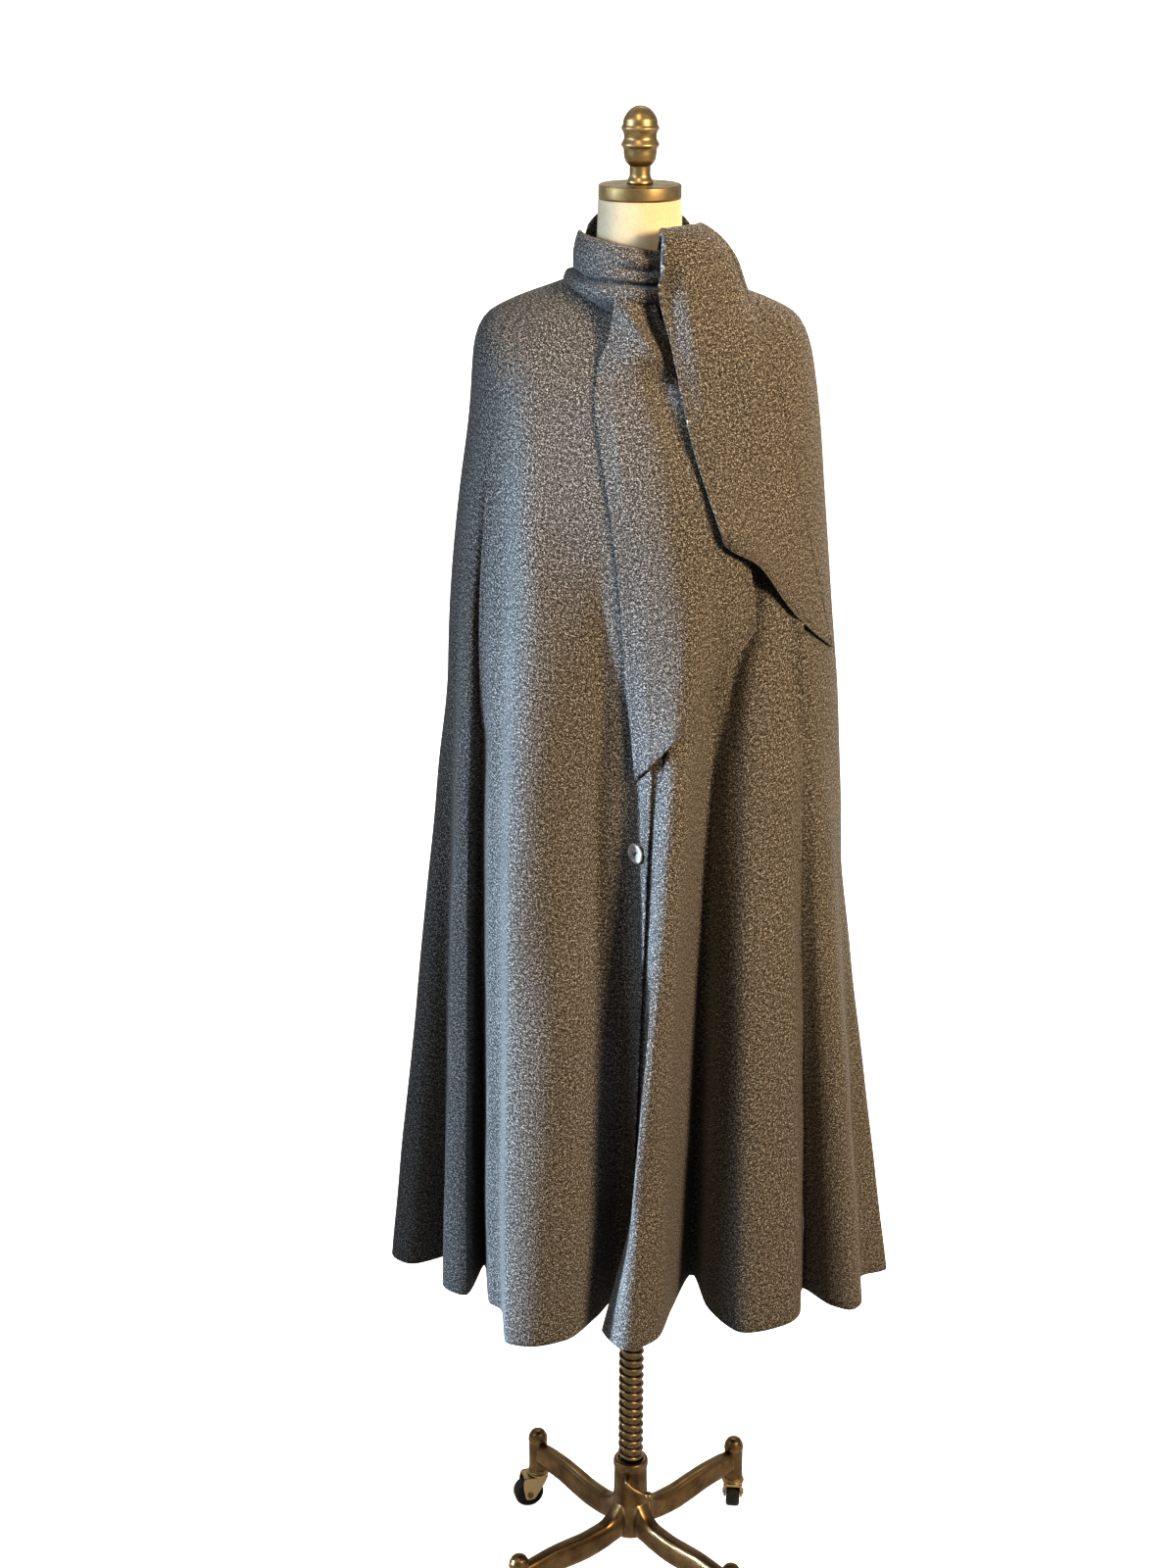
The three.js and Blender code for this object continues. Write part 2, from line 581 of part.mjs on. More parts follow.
// Stand: the pole is ribbed where it shows below the hem.
const ribCount = 23;
const poleRows = [{ radius: poleRadius - 1.6, height: poleFoot }];
for (let k = 0; k < ribCount; k++) {
  poleRows.push({ radius: poleRadius, height: poleFoot + (k + 0.5) * ribPitch });
  poleRows.push({ radius: poleRadius - 1.6, height: poleFoot + (k + 1) * ribPitch });
}
poleRows.push({ radius: poleRadius - 1.6, height: torsoFoot - 0.3 });
add("pole", turned(poleRows, 12), "brass");

const hubRows = [
  { radius: 24, height: hubFoot },
  { radius: 25.5, height: hubFoot + 4 },
  { radius: 24.5, height: 92 },
  { radius: 22.5, height: 108 },
  { radius: 21.2, height: 126 },
  { radius: 20.7, height: 162 },
  { radius: 20.9, height: 168 },
  { radius: 19.4, height: hubTop },
];
const bore = wasm.Manifold.cylinder(hubTop, poleRadius + 0.5, poleRadius + 0.5, 24).translate(0, 0, hubFoot - 20);
add("hub", meshed(solid(turned(hubRows, 24)).subtract(bore)), "brass");

const legRows = [
  { out: 25.9, top: 96, foot: 66, half: 12 },
  { out: 45, top: 92, foot: 60, half: 11.5 },
  { out: 75, top: 92, foot: 58, half: 11 },
  { out: 105, top: 95, foot: 61, half: 11 },
  { out: 135, top: 97.5, foot: 65, half: 10.5 },
  { out: 160, top: 97, foot: 66, half: 10.5 },
  { out: 180, top: 95, foot: 66, half: 9 },
];
const legSection = [
  { across: -1, up: 0.12 },
  { across: -1, up: 0.72 },
  { across: -0.5, up: 1 },
  { across: 0.5, up: 1 },
  { across: 1, up: 0.72 },
  { across: 1, up: 0.12 },
  { across: 0.8, up: 0 },
  { across: -0.8, up: 0 },
];
const socketRows = [
  { radius: socketRadius, height: socketFoot },
  { radius: socketRadius, height: 100 },
  { radius: socketRadius - 1, height: 106 },
  { radius: socketRadius - 4, height: 111.5 },
  { radius: socketRadius - 8.5, height: 114.5 },
];
const collarRows = [
  { radius: 12, height: 46.6 },
  { radius: 14.6, height: 47.4 },
  { radius: 14.6, height: 49.4 },
  { radius: 12.4, height: 50.2 },
  { radius: 12.4, height: socketFoot - 0.3 },
];
const forkPlate = { thick: 2.6, inside: 9.7, top: 46.3, under: 43.4 };
const forkSide = [
  { along: -11, up: 46.3 },
  { along: 21, up: 46.3 },
  { along: 24, up: 34 },
  { along: 20, up: 15 },
  { along: 8, up: 15 },
  { along: -6, up: 36 },
];
const wheelAxle = wheelRadius * Math.cos(Math.PI / wheelSides);
const wheelRows = [
  { across: -0.5, radius: 0.87 },
  { across: -0.4, radius: 1 },
  { across: 0.4, radius: 1 },
  { across: 0.5, radius: 0.87 },
];
const casters = [
  { name: "rear_left", leg: 135, trail: 196 },
  { name: "rear_right", leg: 45, trail: 84 },
  { name: "front_left", leg: 225, trail: 250 },
  { name: "front_right", leg: 315, trail: 330 },
];
function legMesh(x, y, angle) {
  const sections = legRows.map((row) =>
    legSection.map((corner) => new THREE.Vector3(row.out, corner.across * row.half, mix(row.foot, row.top, corner.up))),
  );
  const bar = loft(sections).rotateZ(angle);
  return meshed(solid(bar).add(solid(turned(socketRows, 16, x, y))));
}
function forkMesh() {
  const wide = forkPlate.inside + forkPlate.thick;
  const side = (sign) => {
    const shape = [forkPlate.inside, wide].map((across) =>
      forkSide.map((c) => new THREE.Vector3(c.along, sign * across, c.up)),
    );
    const head = [wide, wide + 1.6].map((across) =>
      Array.from({ length: 12 }, (_, k) => {
        const a = rad(30 * k);
        const at = casterTrail + 4 * Math.cos(a);
        return new THREE.Vector3(at, sign * (across - 0.05), wheelAxle + 4 * Math.sin(a));
      }),
    );
    return solid(loft(shape)).add(solid(loft(head)));
  };
  const roof = [forkPlate.under, forkPlate.top].map((up) =>
    [
      [-11, -wide],
      [21, -wide],
      [21, wide],
      [-11, wide],
    ].map(([along, across]) => new THREE.Vector3(along, across, up)),
  );
  return meshed(side(1).add(side(-1)).add(solid(loft(roof))));
}
function wheelMesh() {
  const sections = wheelRows.map((row) =>
    Array.from({ length: wheelSides }, (_, k) => {
      const a = (2 * Math.PI * (k + 0.5)) / wheelSides;
      const r = row.radius * wheelRadius;
      return new THREE.Vector3(casterTrail + r * Math.cos(a), row.across * wheelWidth, wheelAxle + r * Math.sin(a));
    }),
  );
  return loft(sections);
}
for (const caster of casters) {
  const angle = rad(caster.leg + legTurn);
  const x = casterCircle * Math.cos(angle);
  const y = casterCircle * Math.sin(angle);
  const set = (geometry) => geometry.rotateZ(rad(caster.trail)).translate(x, y, 0);
  add("leg_" + caster.name, legMesh(x, y, angle), "brass");
  add("caster_collar_" + caster.name, turned(collarRows, 14, x, y), "brass");
  add("caster_fork_" + caster.name, set(forkMesh()), "brass");
  add("caster_wheel_" + caster.name, set(wheelMesh()), "tyre");
}

const leverRows = [
  { x: -5, y: -21.3, z: 154, r: 3.4 },
  { x: -5, y: -27, z: 154, r: 3.4 },
  { x: -4, y: -31, z: 152, r: 3 },
  { x: 2, y: -33.5, z: 147, r: 2.7 },
  { x: 12, y: -34.6, z: 141.5, r: 2.5 },
  { x: 17, y: -35, z: 139.4, r: 2.8 },
  { x: 19, y: -35.1, z: 138.7, r: 5 },
  { x: 22.5, y: -35.2, z: 137.4, r: 6 },
  { x: 26, y: -35.3, z: 136.1, r: 4.6 },
  { x: 27.6, y: -35.4, z: 135.5, r: 2 },
];
add("lock_lever", rod(leverRows, 10), "brass");

export default group;
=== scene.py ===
import math

import bmesh
import bpy
import numpy as np
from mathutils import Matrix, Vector


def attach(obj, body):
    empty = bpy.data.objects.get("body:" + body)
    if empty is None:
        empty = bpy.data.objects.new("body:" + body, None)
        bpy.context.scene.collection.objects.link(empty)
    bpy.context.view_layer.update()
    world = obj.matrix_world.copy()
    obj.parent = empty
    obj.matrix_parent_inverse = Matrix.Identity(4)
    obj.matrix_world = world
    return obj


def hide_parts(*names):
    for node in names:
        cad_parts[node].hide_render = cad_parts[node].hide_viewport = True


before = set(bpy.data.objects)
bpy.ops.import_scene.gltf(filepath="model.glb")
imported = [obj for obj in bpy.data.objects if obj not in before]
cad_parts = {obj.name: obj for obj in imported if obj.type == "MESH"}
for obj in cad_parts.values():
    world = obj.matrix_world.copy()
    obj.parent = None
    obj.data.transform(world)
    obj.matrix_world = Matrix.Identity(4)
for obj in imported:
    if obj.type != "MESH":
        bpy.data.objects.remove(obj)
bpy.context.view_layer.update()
scene = bpy.context.scene
mm = 0.001  # tables are in millimetres, the scene in metres

# camera at the photograph's angle
cameraSet = {"place": (-0.0547, -2.6, 2.047), "pitch": 69.8, "lens": 55.33, "sensor": 36.0, "far": 100.0}
cameraData = bpy.data.cameras.new("camera")
cameraData.lens = cameraSet["lens"]
cameraData.sensor_width = cameraSet["sensor"]
cameraData.clip_end = cameraSet["far"]
camera = bpy.data.objects.new("camera", cameraData)
camera.location = cameraSet["place"]
camera.rotation_euler = (math.radians(cameraSet["pitch"]), 0.0, 0.0)
scene.collection.objects.link(camera)
scene.camera = camera


# small maths shared by all the pieces
def softStep(t):
    s = np.clip(t, 0.0, 1.0)
    return s * s * (3.0 - 2.0 * s)


def mixed(a, b, t):
    return a + (b - a) * t


def bump(t, middle, width):
    return np.exp(-(((t - middle) / width) ** 2))


def unit(v):
    return v / np.maximum(np.linalg.norm(v, axis=-1, keepdims=True), 1e-9)


# smooth lookup through table rows, without overshoot
def tableCurve(keys, values):
    x = np.asarray(keys, float)
    y = np.asarray(values, float)
    wide = (slice(None),) + (None,) * (y.ndim - 1)
    slope = np.diff(y, axis=0) / np.diff(x)[wide]
    lean = np.empty_like(y)
    lean[0], lean[-1] = slope[0], slope[-1]
    a, b = slope[:-1], slope[1:]
    keep = a * b > 0
    lean[1:-1] = np.where(keep, 2 * a * b / np.where(keep, a + b, 1.0), 0.0)

    def value(at):
        p = np.clip(np.asarray(at, float), x[0], x[-1])
        i = np.clip(np.searchsorted(x, p, side="right") - 1, 0, len(x) - 2)
        h = x[i + 1] - x[i]
        t = (p - x[i]) / h
        if y.ndim > 1:
            h = h[wide]
            t = t[wide]
        low = (1 + 2 * t) * (1 - t) ** 2 * y[i] + t * (1 - t) ** 2 * h * lean[i]
        return low + t * t * (3 - 2 * t) * y[i + 1] + t * t * (t - 1) * h * lean[i + 1]

    return value


# running length along one way of a grid, from zero
def runLength(points, axis=0):
    step = np.linalg.norm(np.diff(points, axis=axis), axis=-1)
    return np.insert(step.cumsum(axis=axis), 0, 0.0, axis=axis)


# mean running length through rows of points
def rowLength(rows):
    step = np.linalg.norm(np.diff(rows, axis=0), axis=-1).mean(axis=1)
    return np.insert(step.cumsum(), 0, 0.0)


# angles of an even ring, in radians
def circle(sides):
    return np.arange(sides) * (2 * math.pi / sides)


# halves the span between low and high as long as the test says which half
def halved(short, low, high, times):
    for _ in range(times):
        middle = (low + high) / 2
        below = short(middle)
        low = np.where(below, middle, low)
        high = np.where(below, high, middle)
    return (low + high) / 2


# value between the points of a grid, at a row and column with fractions
def between(field, row, column):
    i = np.minimum(np.asarray(row).astype(int), field.shape[0] - 2)
    j = np.minimum(np.asarray(column).astype(int), field.shape[1] - 2)
    v, u = row - i, column - j
    upper = field[i, j] * (1 - u) + field[i, j + 1] * u
    return upper * (1 - v) + (field[i + 1, j] * (1 - u) + field[i + 1, j + 1] * u) * v


# values spaced evenly by a running length
def evenStops(length, values, step):
    return np.interp(np.linspace(0.0, length[-1], int(length[-1] / step) + 1), length, values)


# slow waves in space, for cloth that is never quite flat
def clothWaves(points, seed, shortest, longest, count=9):
    dice = np.random.default_rng(seed)
    total = np.zeros(points.shape[:-1])
    for _ in range(count):
        way = unit(dice.normal(size=3))
        length = dice.uniform(shortest, longest)
        total += np.sin(points @ way * (2 * math.pi / length) + dice.uniform(0, 6.283))
    return total / math.sqrt(count)


# a crease or ridge along a given path of x and z, seen from the front
def creaseLift(grid, path, depth, width, first=0.35, last=0.35):
    spot = grid[..., [0, 2]]
    path = np.asarray(path, float)
    length = np.linalg.norm(np.diff(path, axis=0), axis=1)
    start = np.concatenate([[0.0], length.cumsum()])
    nearest = np.full(spot.shape[:-1], 1e9)
    share = np.zeros(spot.shape[:-1])
    for k in range(len(path) - 1):
        way = (path[k + 1] - path[k]) / length[k]
        reach = np.clip((spot - path[k]) @ way, 0.0, length[k])
        gap = np.linalg.norm(spot - path[k] - reach[..., None] * way, axis=-1)
        closer = gap < nearest
        nearest = np.where(closer, gap, nearest)
        share = np.where(closer, (start[k] + reach) / start[-1], share)
    fade = mixed(first, 1.0, softStep(share * 3.0)) * mixed(last, 1.0, softStep((1.0 - share) * 3.0))
    return depth * fade * np.exp(-((nearest / width) ** 2))


# mesh makers, all in millimetres
def linkMesh(name, points, edges, faces):
    mesh = bpy.data.meshes.new(name)
    mesh.from_pydata((np.asarray(points) * mm).tolist(), edges, faces)
    mesh.update()
    piece = bpy.data.objects.new(name, mesh)
    scene.collection.objects.link(piece)
    return piece


def smoothed(piece, sharp=35.0):
    piece.data.shade_smooth()
    piece.data.set_sharp_from_angle(angle=math.radians(sharp))
    return piece


def linkPiece(name, points, faces, material, sharp=35.0):
    piece = linkMesh(name, points, [], faces)
    piece.data.materials.append(material)
    return smoothed(piece, sharp)


def setPiece(piece, body, slot, *stands):
    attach(piece, body)
    if stands:
        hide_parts(*stands)
    return piece


def readAll(items, name, wide, kind=float):
    flat = np.empty(len(items) * wide, dtype=kind)
    items.foreach_get(name, flat)
    return flat.reshape(-1, wide)


# how far each point stands out from its neighbours, for wear on edges
def addWear(piece, gain=3.2):
    mesh = piece.data
    spots = readAll(mesh.vertices, "co", 3)
    out = readAll(mesh.vertices, "normal", 3)
    ends = readAll(mesh.edges, "vertices", 2, np.int32)
    total = np.zeros_like(spots)
    links = np.zeros(len(spots))
    reach = np.zeros(len(spots))
    span = np.linalg.norm(spots[ends[:, 0]] - spots[ends[:, 1]], axis=1)
    for a, b in ((0, 1), (1, 0)):
        np.add.at(total, ends[:, a], spots[ends[:, b]])
        np.add.at(links, ends[:, a], 1.0)
        np.add.at(reach, ends[:, a], span)
    links = np.maximum(links, 1.0)
    proud = ((spots - total / links[:, None]) * out).sum(axis=1) / np.maximum(reach / links, 1e-6)
    wear = mesh.attributes.new("wear", "FLOAT", "POINT")
    wear.data.foreach_set("value", np.clip(proud * gain, 0.0, 1.0).astype(np.float32))
    return piece


# flat layout in metres, for weave and nap
def layCloth(piece, flat):
    layer = piece.data.uv_layers.new(name="cloth")
    corner = readAll(piece.data.loops, "vertex_index", 1, np.int32)[:, 0]
    layer.data.foreach_set("uv", flat[corner].astype(np.float32).ravel())


def gridOut(grid):
    along = np.gradient(grid, axis=1)
    down = np.gradient(grid, axis=0)
    return unit(np.cross(down, along))


# a cloth wall with a soft rounded rim, from the grid of its outer points
def clothPiece(name, grid, thick, material, rimRound=0.38):
    rows, wide = grid.shape[:2]
    out = gridOut(grid)
    inner = grid - out * thick
    along = unit(np.gradient(grid, axis=1))
    down = unit(np.gradient(grid, axis=0))
    loop = [(0, j) for j in range(wide)]
    loop += [(i, wide - 1) for i in range(1, rows)]
    loop += [(rows - 1, j) for j in range(wide - 2, -1, -1)]
    loop += [(i, 0) for i in range(rows - 2, 0, -1)]
    rim = []
    for i, j in loop:
        away = np.zeros(3)
        if i == 0:
            away -= down[i, j]
        if i == rows - 1:
            away += down[i, j]
        if j == 0:
            away -= along[i, j]
        if j == wide - 1:
            away += along[i, j]
        rim.append((grid[i, j] + inner[i, j]) / 2 + unit(away) * thick * rimRound)
    half = rows * wide
    index = np.arange(half).reshape(rows, wide)
    a, b = index[:-1, :-1].ravel(), index[1:, :-1].ravel()
    c, d = index[1:, 1:].ravel(), index[:-1, 1:].ravel()
    faces = np.stack([a, b, c, d], 1).tolist()
    faces += (np.stack([a, d, c, b], 1) + half).tolist()
    for k, (i, j) in enumerate(loop):
        m, n = loop[(k + 1) % len(loop)]
        one, two = i * wide + j, m * wide + n
        edge, ahead = 2 * half + k, 2 * half + (k + 1) % len(loop)
        faces.append([one, two, ahead, edge])
        faces.append([edge, ahead, two + half, one + half])
    points = np.concatenate([grid.reshape(-1, 3), inner.reshape(-1, 3), np.array(rim)])
    piece = linkPiece(name, points, faces, material, 60.0)
    u = runLength(grid, 1)
    flat = np.stack([u - u[:, wide // 2, None], runLength(grid)], -1) * mm
    rimFlat = np.array([flat[i, j] for i, j in loop])
    layCloth(piece, np.concatenate([flat.reshape(-1, 2), flat.reshape(-1, 2), rimFlat]))
    return piece


# shell through closed rings of points, capped at its ends or closed on itself
def loftPoints(sections, capped=True):
    sections = np.asarray(sections, float)
    rows, wide = sections.shape[:2]
    faces = []
    for i in range(rows - 1 if capped else rows):
        low, high = i * wide, (i + 1) % rows * wide
        for j in range(wide):
            after = (j + 1) % wide
            faces.append([low + j, low + after, high + after, high + j])
    if capped:
        faces.append(list(range(wide))[::-1])
        faces.append([(rows - 1) * wide + j for j in range(wide)])
    return sections.reshape(-1, 3), faces


def lathePoints(rows, sides, x=0.0, y=0.0, capped=True):
    turn = circle(sides)
    sections = [
        np.stack([x + r * np.cos(turn), y + r * np.sin(turn), np.full(sides, h)], 1) for r, h in rows
    ]
    return loftPoints(sections, capped)


def joinPoints(parts):
    points, faces, base = [], [], 0
    for some, these in parts:
        points.append(np.asarray(some))
        faces += [[k + base for k in face] for face in these]
        base += len(some)
    return np.concatenate(points), faces


# profile rows with each corner eased by a small round
def easedRows(rows, ease, steps=4):
    rows = [np.asarray(r, float) for r in rows]
    done = [rows[0]]
    for before, corner, after in zip(rows, rows[1:], rows[2:]):
        back, ahead = before - corner, after - corner
        cut = min(ease, np.linalg.norm(back) * 0.45, np.linalg.norm(ahead) * 0.45)
        start, end = corner + unit(back) * cut, corner + unit(ahead) * cut
        for k in range(steps + 1):
            t = k / steps
            done.append((1 - t) ** 2 * start + 2 * t * (1 - t) * corner + t * t * end)
    done.append(rows[-1])
    return done


# node helpers: a value that is a socket is linked, any other is set
def fill(tree, node, values):
    for key, value in values.items():
        if isinstance(value, bpy.types.NodeSocket):
            tree.links.new(value, node.inputs[key])
        else:
            node.inputs[key].default_value = value
    return node


def addNode(tree, kind, values=None, **settings):
    node = tree.nodes.new(kind)
    for key, value in settings.items():
        setattr(node, key, value)
    return fill(tree, node, values or {})


# sockets are given as label and kind
def newGroup(kind, name, inputs, outputs):
    tree = bpy.data.node_groups.new(name, kind)
    for way, sockets in (("INPUT", inputs), ("OUTPUT", outputs)):
        for label, socket in sockets.items():
            tree.interface.new_socket(label, in_out=way, socket_type="NodeSocket" + socket)
    return tree, tree.nodes.new("NodeGroupInput").outputs, tree.nodes.new("NodeGroupOutput")


def placeGroup(tree, group, **values):
    return addNode(tree, "ShaderNodeGroup", values, node_tree=group).outputs


def newMaterial(name):
    material = bpy.data.materials.new(name)
    material.use_nodes = True
    return material, material.node_tree, material.node_tree.nodes["Principled BSDF"]


def grey(value):
    return (value, value, value, 1.0)


def clothPlace(tree):
    return addNode(tree, "ShaderNodeUVMap", uv_map="cloth").outputs[0]


def objectPlace(tree):
    return addNode(tree, "ShaderNodeTexCoord").outputs["Object"]


def mapped(tree, place, scale):
    return addNode(tree, "ShaderNodeMapping", {"Vector": place, "Scale": scale}).outputs[0]


def noise(tree, place, scale, detail, **more):
    values = {"Vector": place, "Scale": scale, "Detail": detail, **more}
    return addNode(tree, "ShaderNodeTexNoise", values).outputs["Fac"]


def reckoned(tree, operation, *values):
    return addNode(tree, "ShaderNodeMath", dict(enumerate(values)), operation=operation).outputs[0]


def ranged(tree, value, low, high, newLow=0.0, newHigh=1.0):
    values = {"Value": value, "From Min": low, "From Max": high, "To Min": newLow, "To Max": newHigh}
    return addNode(tree, "ShaderNodeMapRange", values).outputs[0]


def blended(tree, share, one, two):
    return addNode(tree, "ShaderNodeMix", {0: share, 6: one, 7: two}, data_type="RGBA").outputs[2]


def scaled(tree, colour, amount):
    return addNode(tree, "ShaderNodeVectorMath", {0: colour, "Scale": amount}, operation="SCALE").outputs[0]


def raised(tree, height, strength, distance):
    values = {"Height": height, "Strength": strength, "Distance": distance}
    return addNode(tree, "ShaderNodeBump", values).outputs[0]


# flecks of dark and light fibre in a melange yarn
def makeFleckGroup():
    tree, given, end = newGroup(
        "ShaderNodeTree", "fibreFlecks",
        {"Vector": "Vector", "Scale": "Float", "Deep": "Color", "Body": "Color", "Pale": "Color",
         "Drift": "Float"},
        {"Color": "Color", "Height": "Float"},
    )
    fine = noise(tree, given["Vector"], given["Scale"], 2.0, Roughness=0.65)
    wider = reckoned(tree, "MULTIPLY", given["Scale"], 0.43)
    coarse = noise(tree, given["Vector"], wider, 3.0, Roughness=0.6)
    blend = addNode(tree, "ShaderNodeMix", {0: 0.3, 2: fine, 3: coarse}, data_type="FLOAT").outputs[0]
    lower = blended(tree, ranged(tree, blend, 0.37, 0.49), given["Deep"], given["Body"])
    upper = blended(tree, ranged(tree, blend, 0.51, 0.65), lower, given["Pale"])
    sway = reckoned(tree, "SUBTRACT", noise(tree, given["Vector"], 9.0, 3.0), 0.5)
    drift = reckoned(tree, "MULTIPLY_ADD", sway, given["Drift"], 1.0)
    fill(tree, end, {"Color": scaled(tree, upper, drift), "Height": blend})
    return tree


# diagonal or square weave lines over the cloth's flat layout
def makeWeaveGroup():
    tree, given, end = newGroup(
        "ShaderNodeTree", "weaveLines",
        {"Vector": "Vector", "Pitch": "Float", "Slant": "Float"},
        {"Height": "Float", "Mask": "Float"},
    )
    split = addNode(tree, "ShaderNodeSeparateXYZ", {0: given["Vector"]}).outputs
    lean = reckoned(tree, "MULTIPLY_ADD", split[1], given["Slant"], split[0])
    waves = []
    for source in (lean, split[1]):
        share = reckoned(tree, "DIVIDE", source, given["Pitch"])
        waves.append(reckoned(tree, "SINE", reckoned(tree, "MULTIPLY", share, 2 * math.pi)))
    both = reckoned(tree, "MULTIPLY_ADD", waves[1], 0.45, waves[0])
    fill(tree, end, {"Height": ranged(tree, both, -1.45, 1.45), "Mask": ranged(tree, both, -0.3, 1.2)})
    return tree


# brown patina in clouds, rubbed metal on the edges
def makePatinaGroup():
    tree, given, end = newGroup(
        "ShaderNodeTree", "rubbedPatina",
        {"Vector": "Vector", "Wear": "Float", "Metal": "Color", "Patina": "Color", "Rubbed": "Color",
         "Cover": "Float", "Scale": "Float"},
        {"Color": "Color", "Roughness": "Float", "Height": "Float"},
    )
    clouds = noise(tree, given["Vector"], given["Scale"], 6.0, Roughness=0.62)
    grain = noise(tree, given["Vector"], 900.0, 2.0)
    amount = reckoned(tree, "MULTIPLY", ranged(tree, clouds, 0.34, 0.66), given["Cover"])
    dull = blended(tree, amount, given["Metal"], given["Patina"])
    edge = ranged(tree, reckoned(tree, "MULTIPLY", given["Wear"], grain), 0.04, 0.34)
    fill(tree, end, {
        "Color": blended(tree, edge, dull, given["Rubbed"]),
        "Roughness": ranged(tree, clouds, 0.2, 0.8, 0.26, 0.52),
        "Height": grain,
    })
    return tree


fleckGroup = makeFleckGroup()
weaveGroup = makeWeaveGroup()
patinaGroup = makePatinaGroup()

# grey melange wool coating
woolSet = {
    "deep": (0.010, 0.010, 0.011, 1.0),
    "body": (0.120, 0.118, 0.116, 1.0),
    "pale": (0.84, 0.83, 0.81, 1.0),
    "fleckScale": 700.0,
    "fleckRise": 1.6,
    "drift": 0.16,
    "draw": (1.0, 0.88, 1.0),
    "twillPitch": 0.0030,
    "twillShade": (0.93, 1.05),
    "rough": (0.98, 0.84),
    "nap": (0.45, 0.0006),
    "sheen": {"Sheen Weight": 0.18, "Sheen Roughness": 0.5, "Sheen Tint": (0.82, 0.84, 0.88, 1.0)},
    "shine": 0.12,
}


def makeWool():
    material, tree, shader = newMaterial("greyMelangeWool")
    layout = clothPlace(tree)
    fleck = placeGroup(
        tree, fleckGroup, Vector=mapped(tree, layout, woolSet["draw"]), Scale=woolSet["fleckScale"],
        Deep=woolSet["deep"], Body=woolSet["body"], Pale=woolSet["pale"], Drift=woolSet["drift"],
    )
    twill = placeGroup(tree, weaveGroup, Vector=layout, Pitch=woolSet["twillPitch"], Slant=1.0)
    shade = ranged(tree, twill["Mask"], 0.0, 1.0, *woolSet["twillShade"])
    level = reckoned(tree, "MULTIPLY_ADD", fleck["Height"], woolSet["fleckRise"], twill["Height"])
    fill(tree, shader, {
        "Base Color": scaled(tree, fleck["Color"], shade),
        "Roughness": ranged(tree, fleck["Height"], 0.0, 1.0, *woolSet["rough"]),
        "Normal": raised(tree, level, *woolSet["nap"]),
        "Specular IOR Level": woolSet["shine"],
        **woolSet["sheen"],
    })
    return material


woolMaterial = makeWool()

# sewing thread, with painted shade of its twist laid as random darker spots
threadSet = {
    "pale": (0.12, 0.118, 0.115, 1.0),
    # the deep tone is painted shade for the thread's twist
    "deep": (0.072, 0.0708, 0.069, 1.0),
    "twistShade": 1500.0,
    "rough": 0.7,
}


def makeThread():
    material, tree, shader = newMaterial("greyThread")
    # painted shade of the twist: random spots mixed towards the deep tone
    twistShade = noise(tree, objectPlace(tree), threadSet["twistShade"], 2.0)
    tone = blended(tree, twistShade, threadSet["deep"], threadSet["pale"])
    fill(tree, shader, {"Base Color": tone, "Roughness": threadSet["rough"]})
    return material


threadMaterial = makeThread()

# cream cotton over the form
coverSet = {
    "deep": (0.94, 0.79, 0.56, 1.0),
    "body": (0.97, 0.85, 0.63, 1.0),
    "pale": (0.98, 0.88, 0.67, 1.0),
    "fleckScale": 300.0,
    "drift": 0.08,
    "pitch": 0.0011,
    "rough": (0.95, 0.8),
    "weave": (0.3, 0.0003),
    "sheen": 0.12,
    "shine": 0.2,
}


def makeCover():
    material, tree, shader = newMaterial("creamFormCover")
    layout = clothPlace(tree)
    weave = placeGroup(tree, weaveGroup, Vector=layout, Pitch=coverSet["pitch"], Slant=0.0)
    fleck = placeGroup(
        tree, fleckGroup, Vector=layout, Scale=coverSet["fleckScale"], Deep=coverSet["deep"],
        Body=coverSet["body"], Pale=coverSet["pale"], Drift=coverSet["drift"],
    )
    fill(tree, shader, {
        "Base Color": fleck["Color"],
        "Roughness": ranged(tree, weave["Mask"], 0.0, 1.0, *coverSet["rough"]),
        "Normal": raised(tree, weave["Height"], *coverSet["weave"]),
        "Specular IOR Level": coverSet["shine"],
        "Sheen Weight": coverSet["sheen"],
    })
    return material


coverMaterial = makeCover()

# metal, patina and rubbed colours, how much the patina covers, size of its clouds, roughness added
metalSet = {
    "antiqueBrass": ((0.42, 0.32, 0.17), (0.13, 0.09, 0.045), (0.72, 0.58, 0.35), 0.65, 55.0, 0.0),
    "agedBronze": ((0.19, 0.13, 0.068), (0.06, 0.038, 0.018), (0.4, 0.3, 0.17), 0.7, 38.0, -0.03),
    "oiledThread": ((0.13, 0.093, 0.055), (0.05, 0.034, 0.02), (0.27, 0.205, 0.125), 0.6, 38.0, -0.06),
}


def makeMetal(name):
    material, tree, shader = newMaterial(name)
    metal, patina, rubbed, cover, scale, rougher = metalSet[name]
    wear = addNode(tree, "ShaderNodeAttribute", attribute_name="wear").outputs["Fac"]
    skin = placeGroup(
        tree, patinaGroup, Vector=objectPlace(tree), Wear=wear, Metal=(*metal, 1.0), Patina=(*patina, 1.0),
        Rubbed=(*rubbed, 1.0), Cover=cover, Scale=scale,
    )
    fill(tree, shader, {
        "Base Color": skin["Color"],
        "Metallic": 1.0,
        "Roughness": reckoned(tree, "ADD", skin["Roughness"], rougher),
        "Normal": raised(tree, skin["Height"], 0.25, 0.0002),
    })
    return material


brassMaterial, bronzeMaterial, coilMaterial = (makeMetal(name) for name in metalSet)

# dark rubber tyres with a little floor dust
tyreSet = {
    "rubber": (0.012, 0.012, 0.013, 1.0),
    "dust": (0.06, 0.056, 0.05, 1.0),
    "scale": 130.0,
    "mask": (0.45, 0.8),
    "rough": (0.42, 0.75),
}


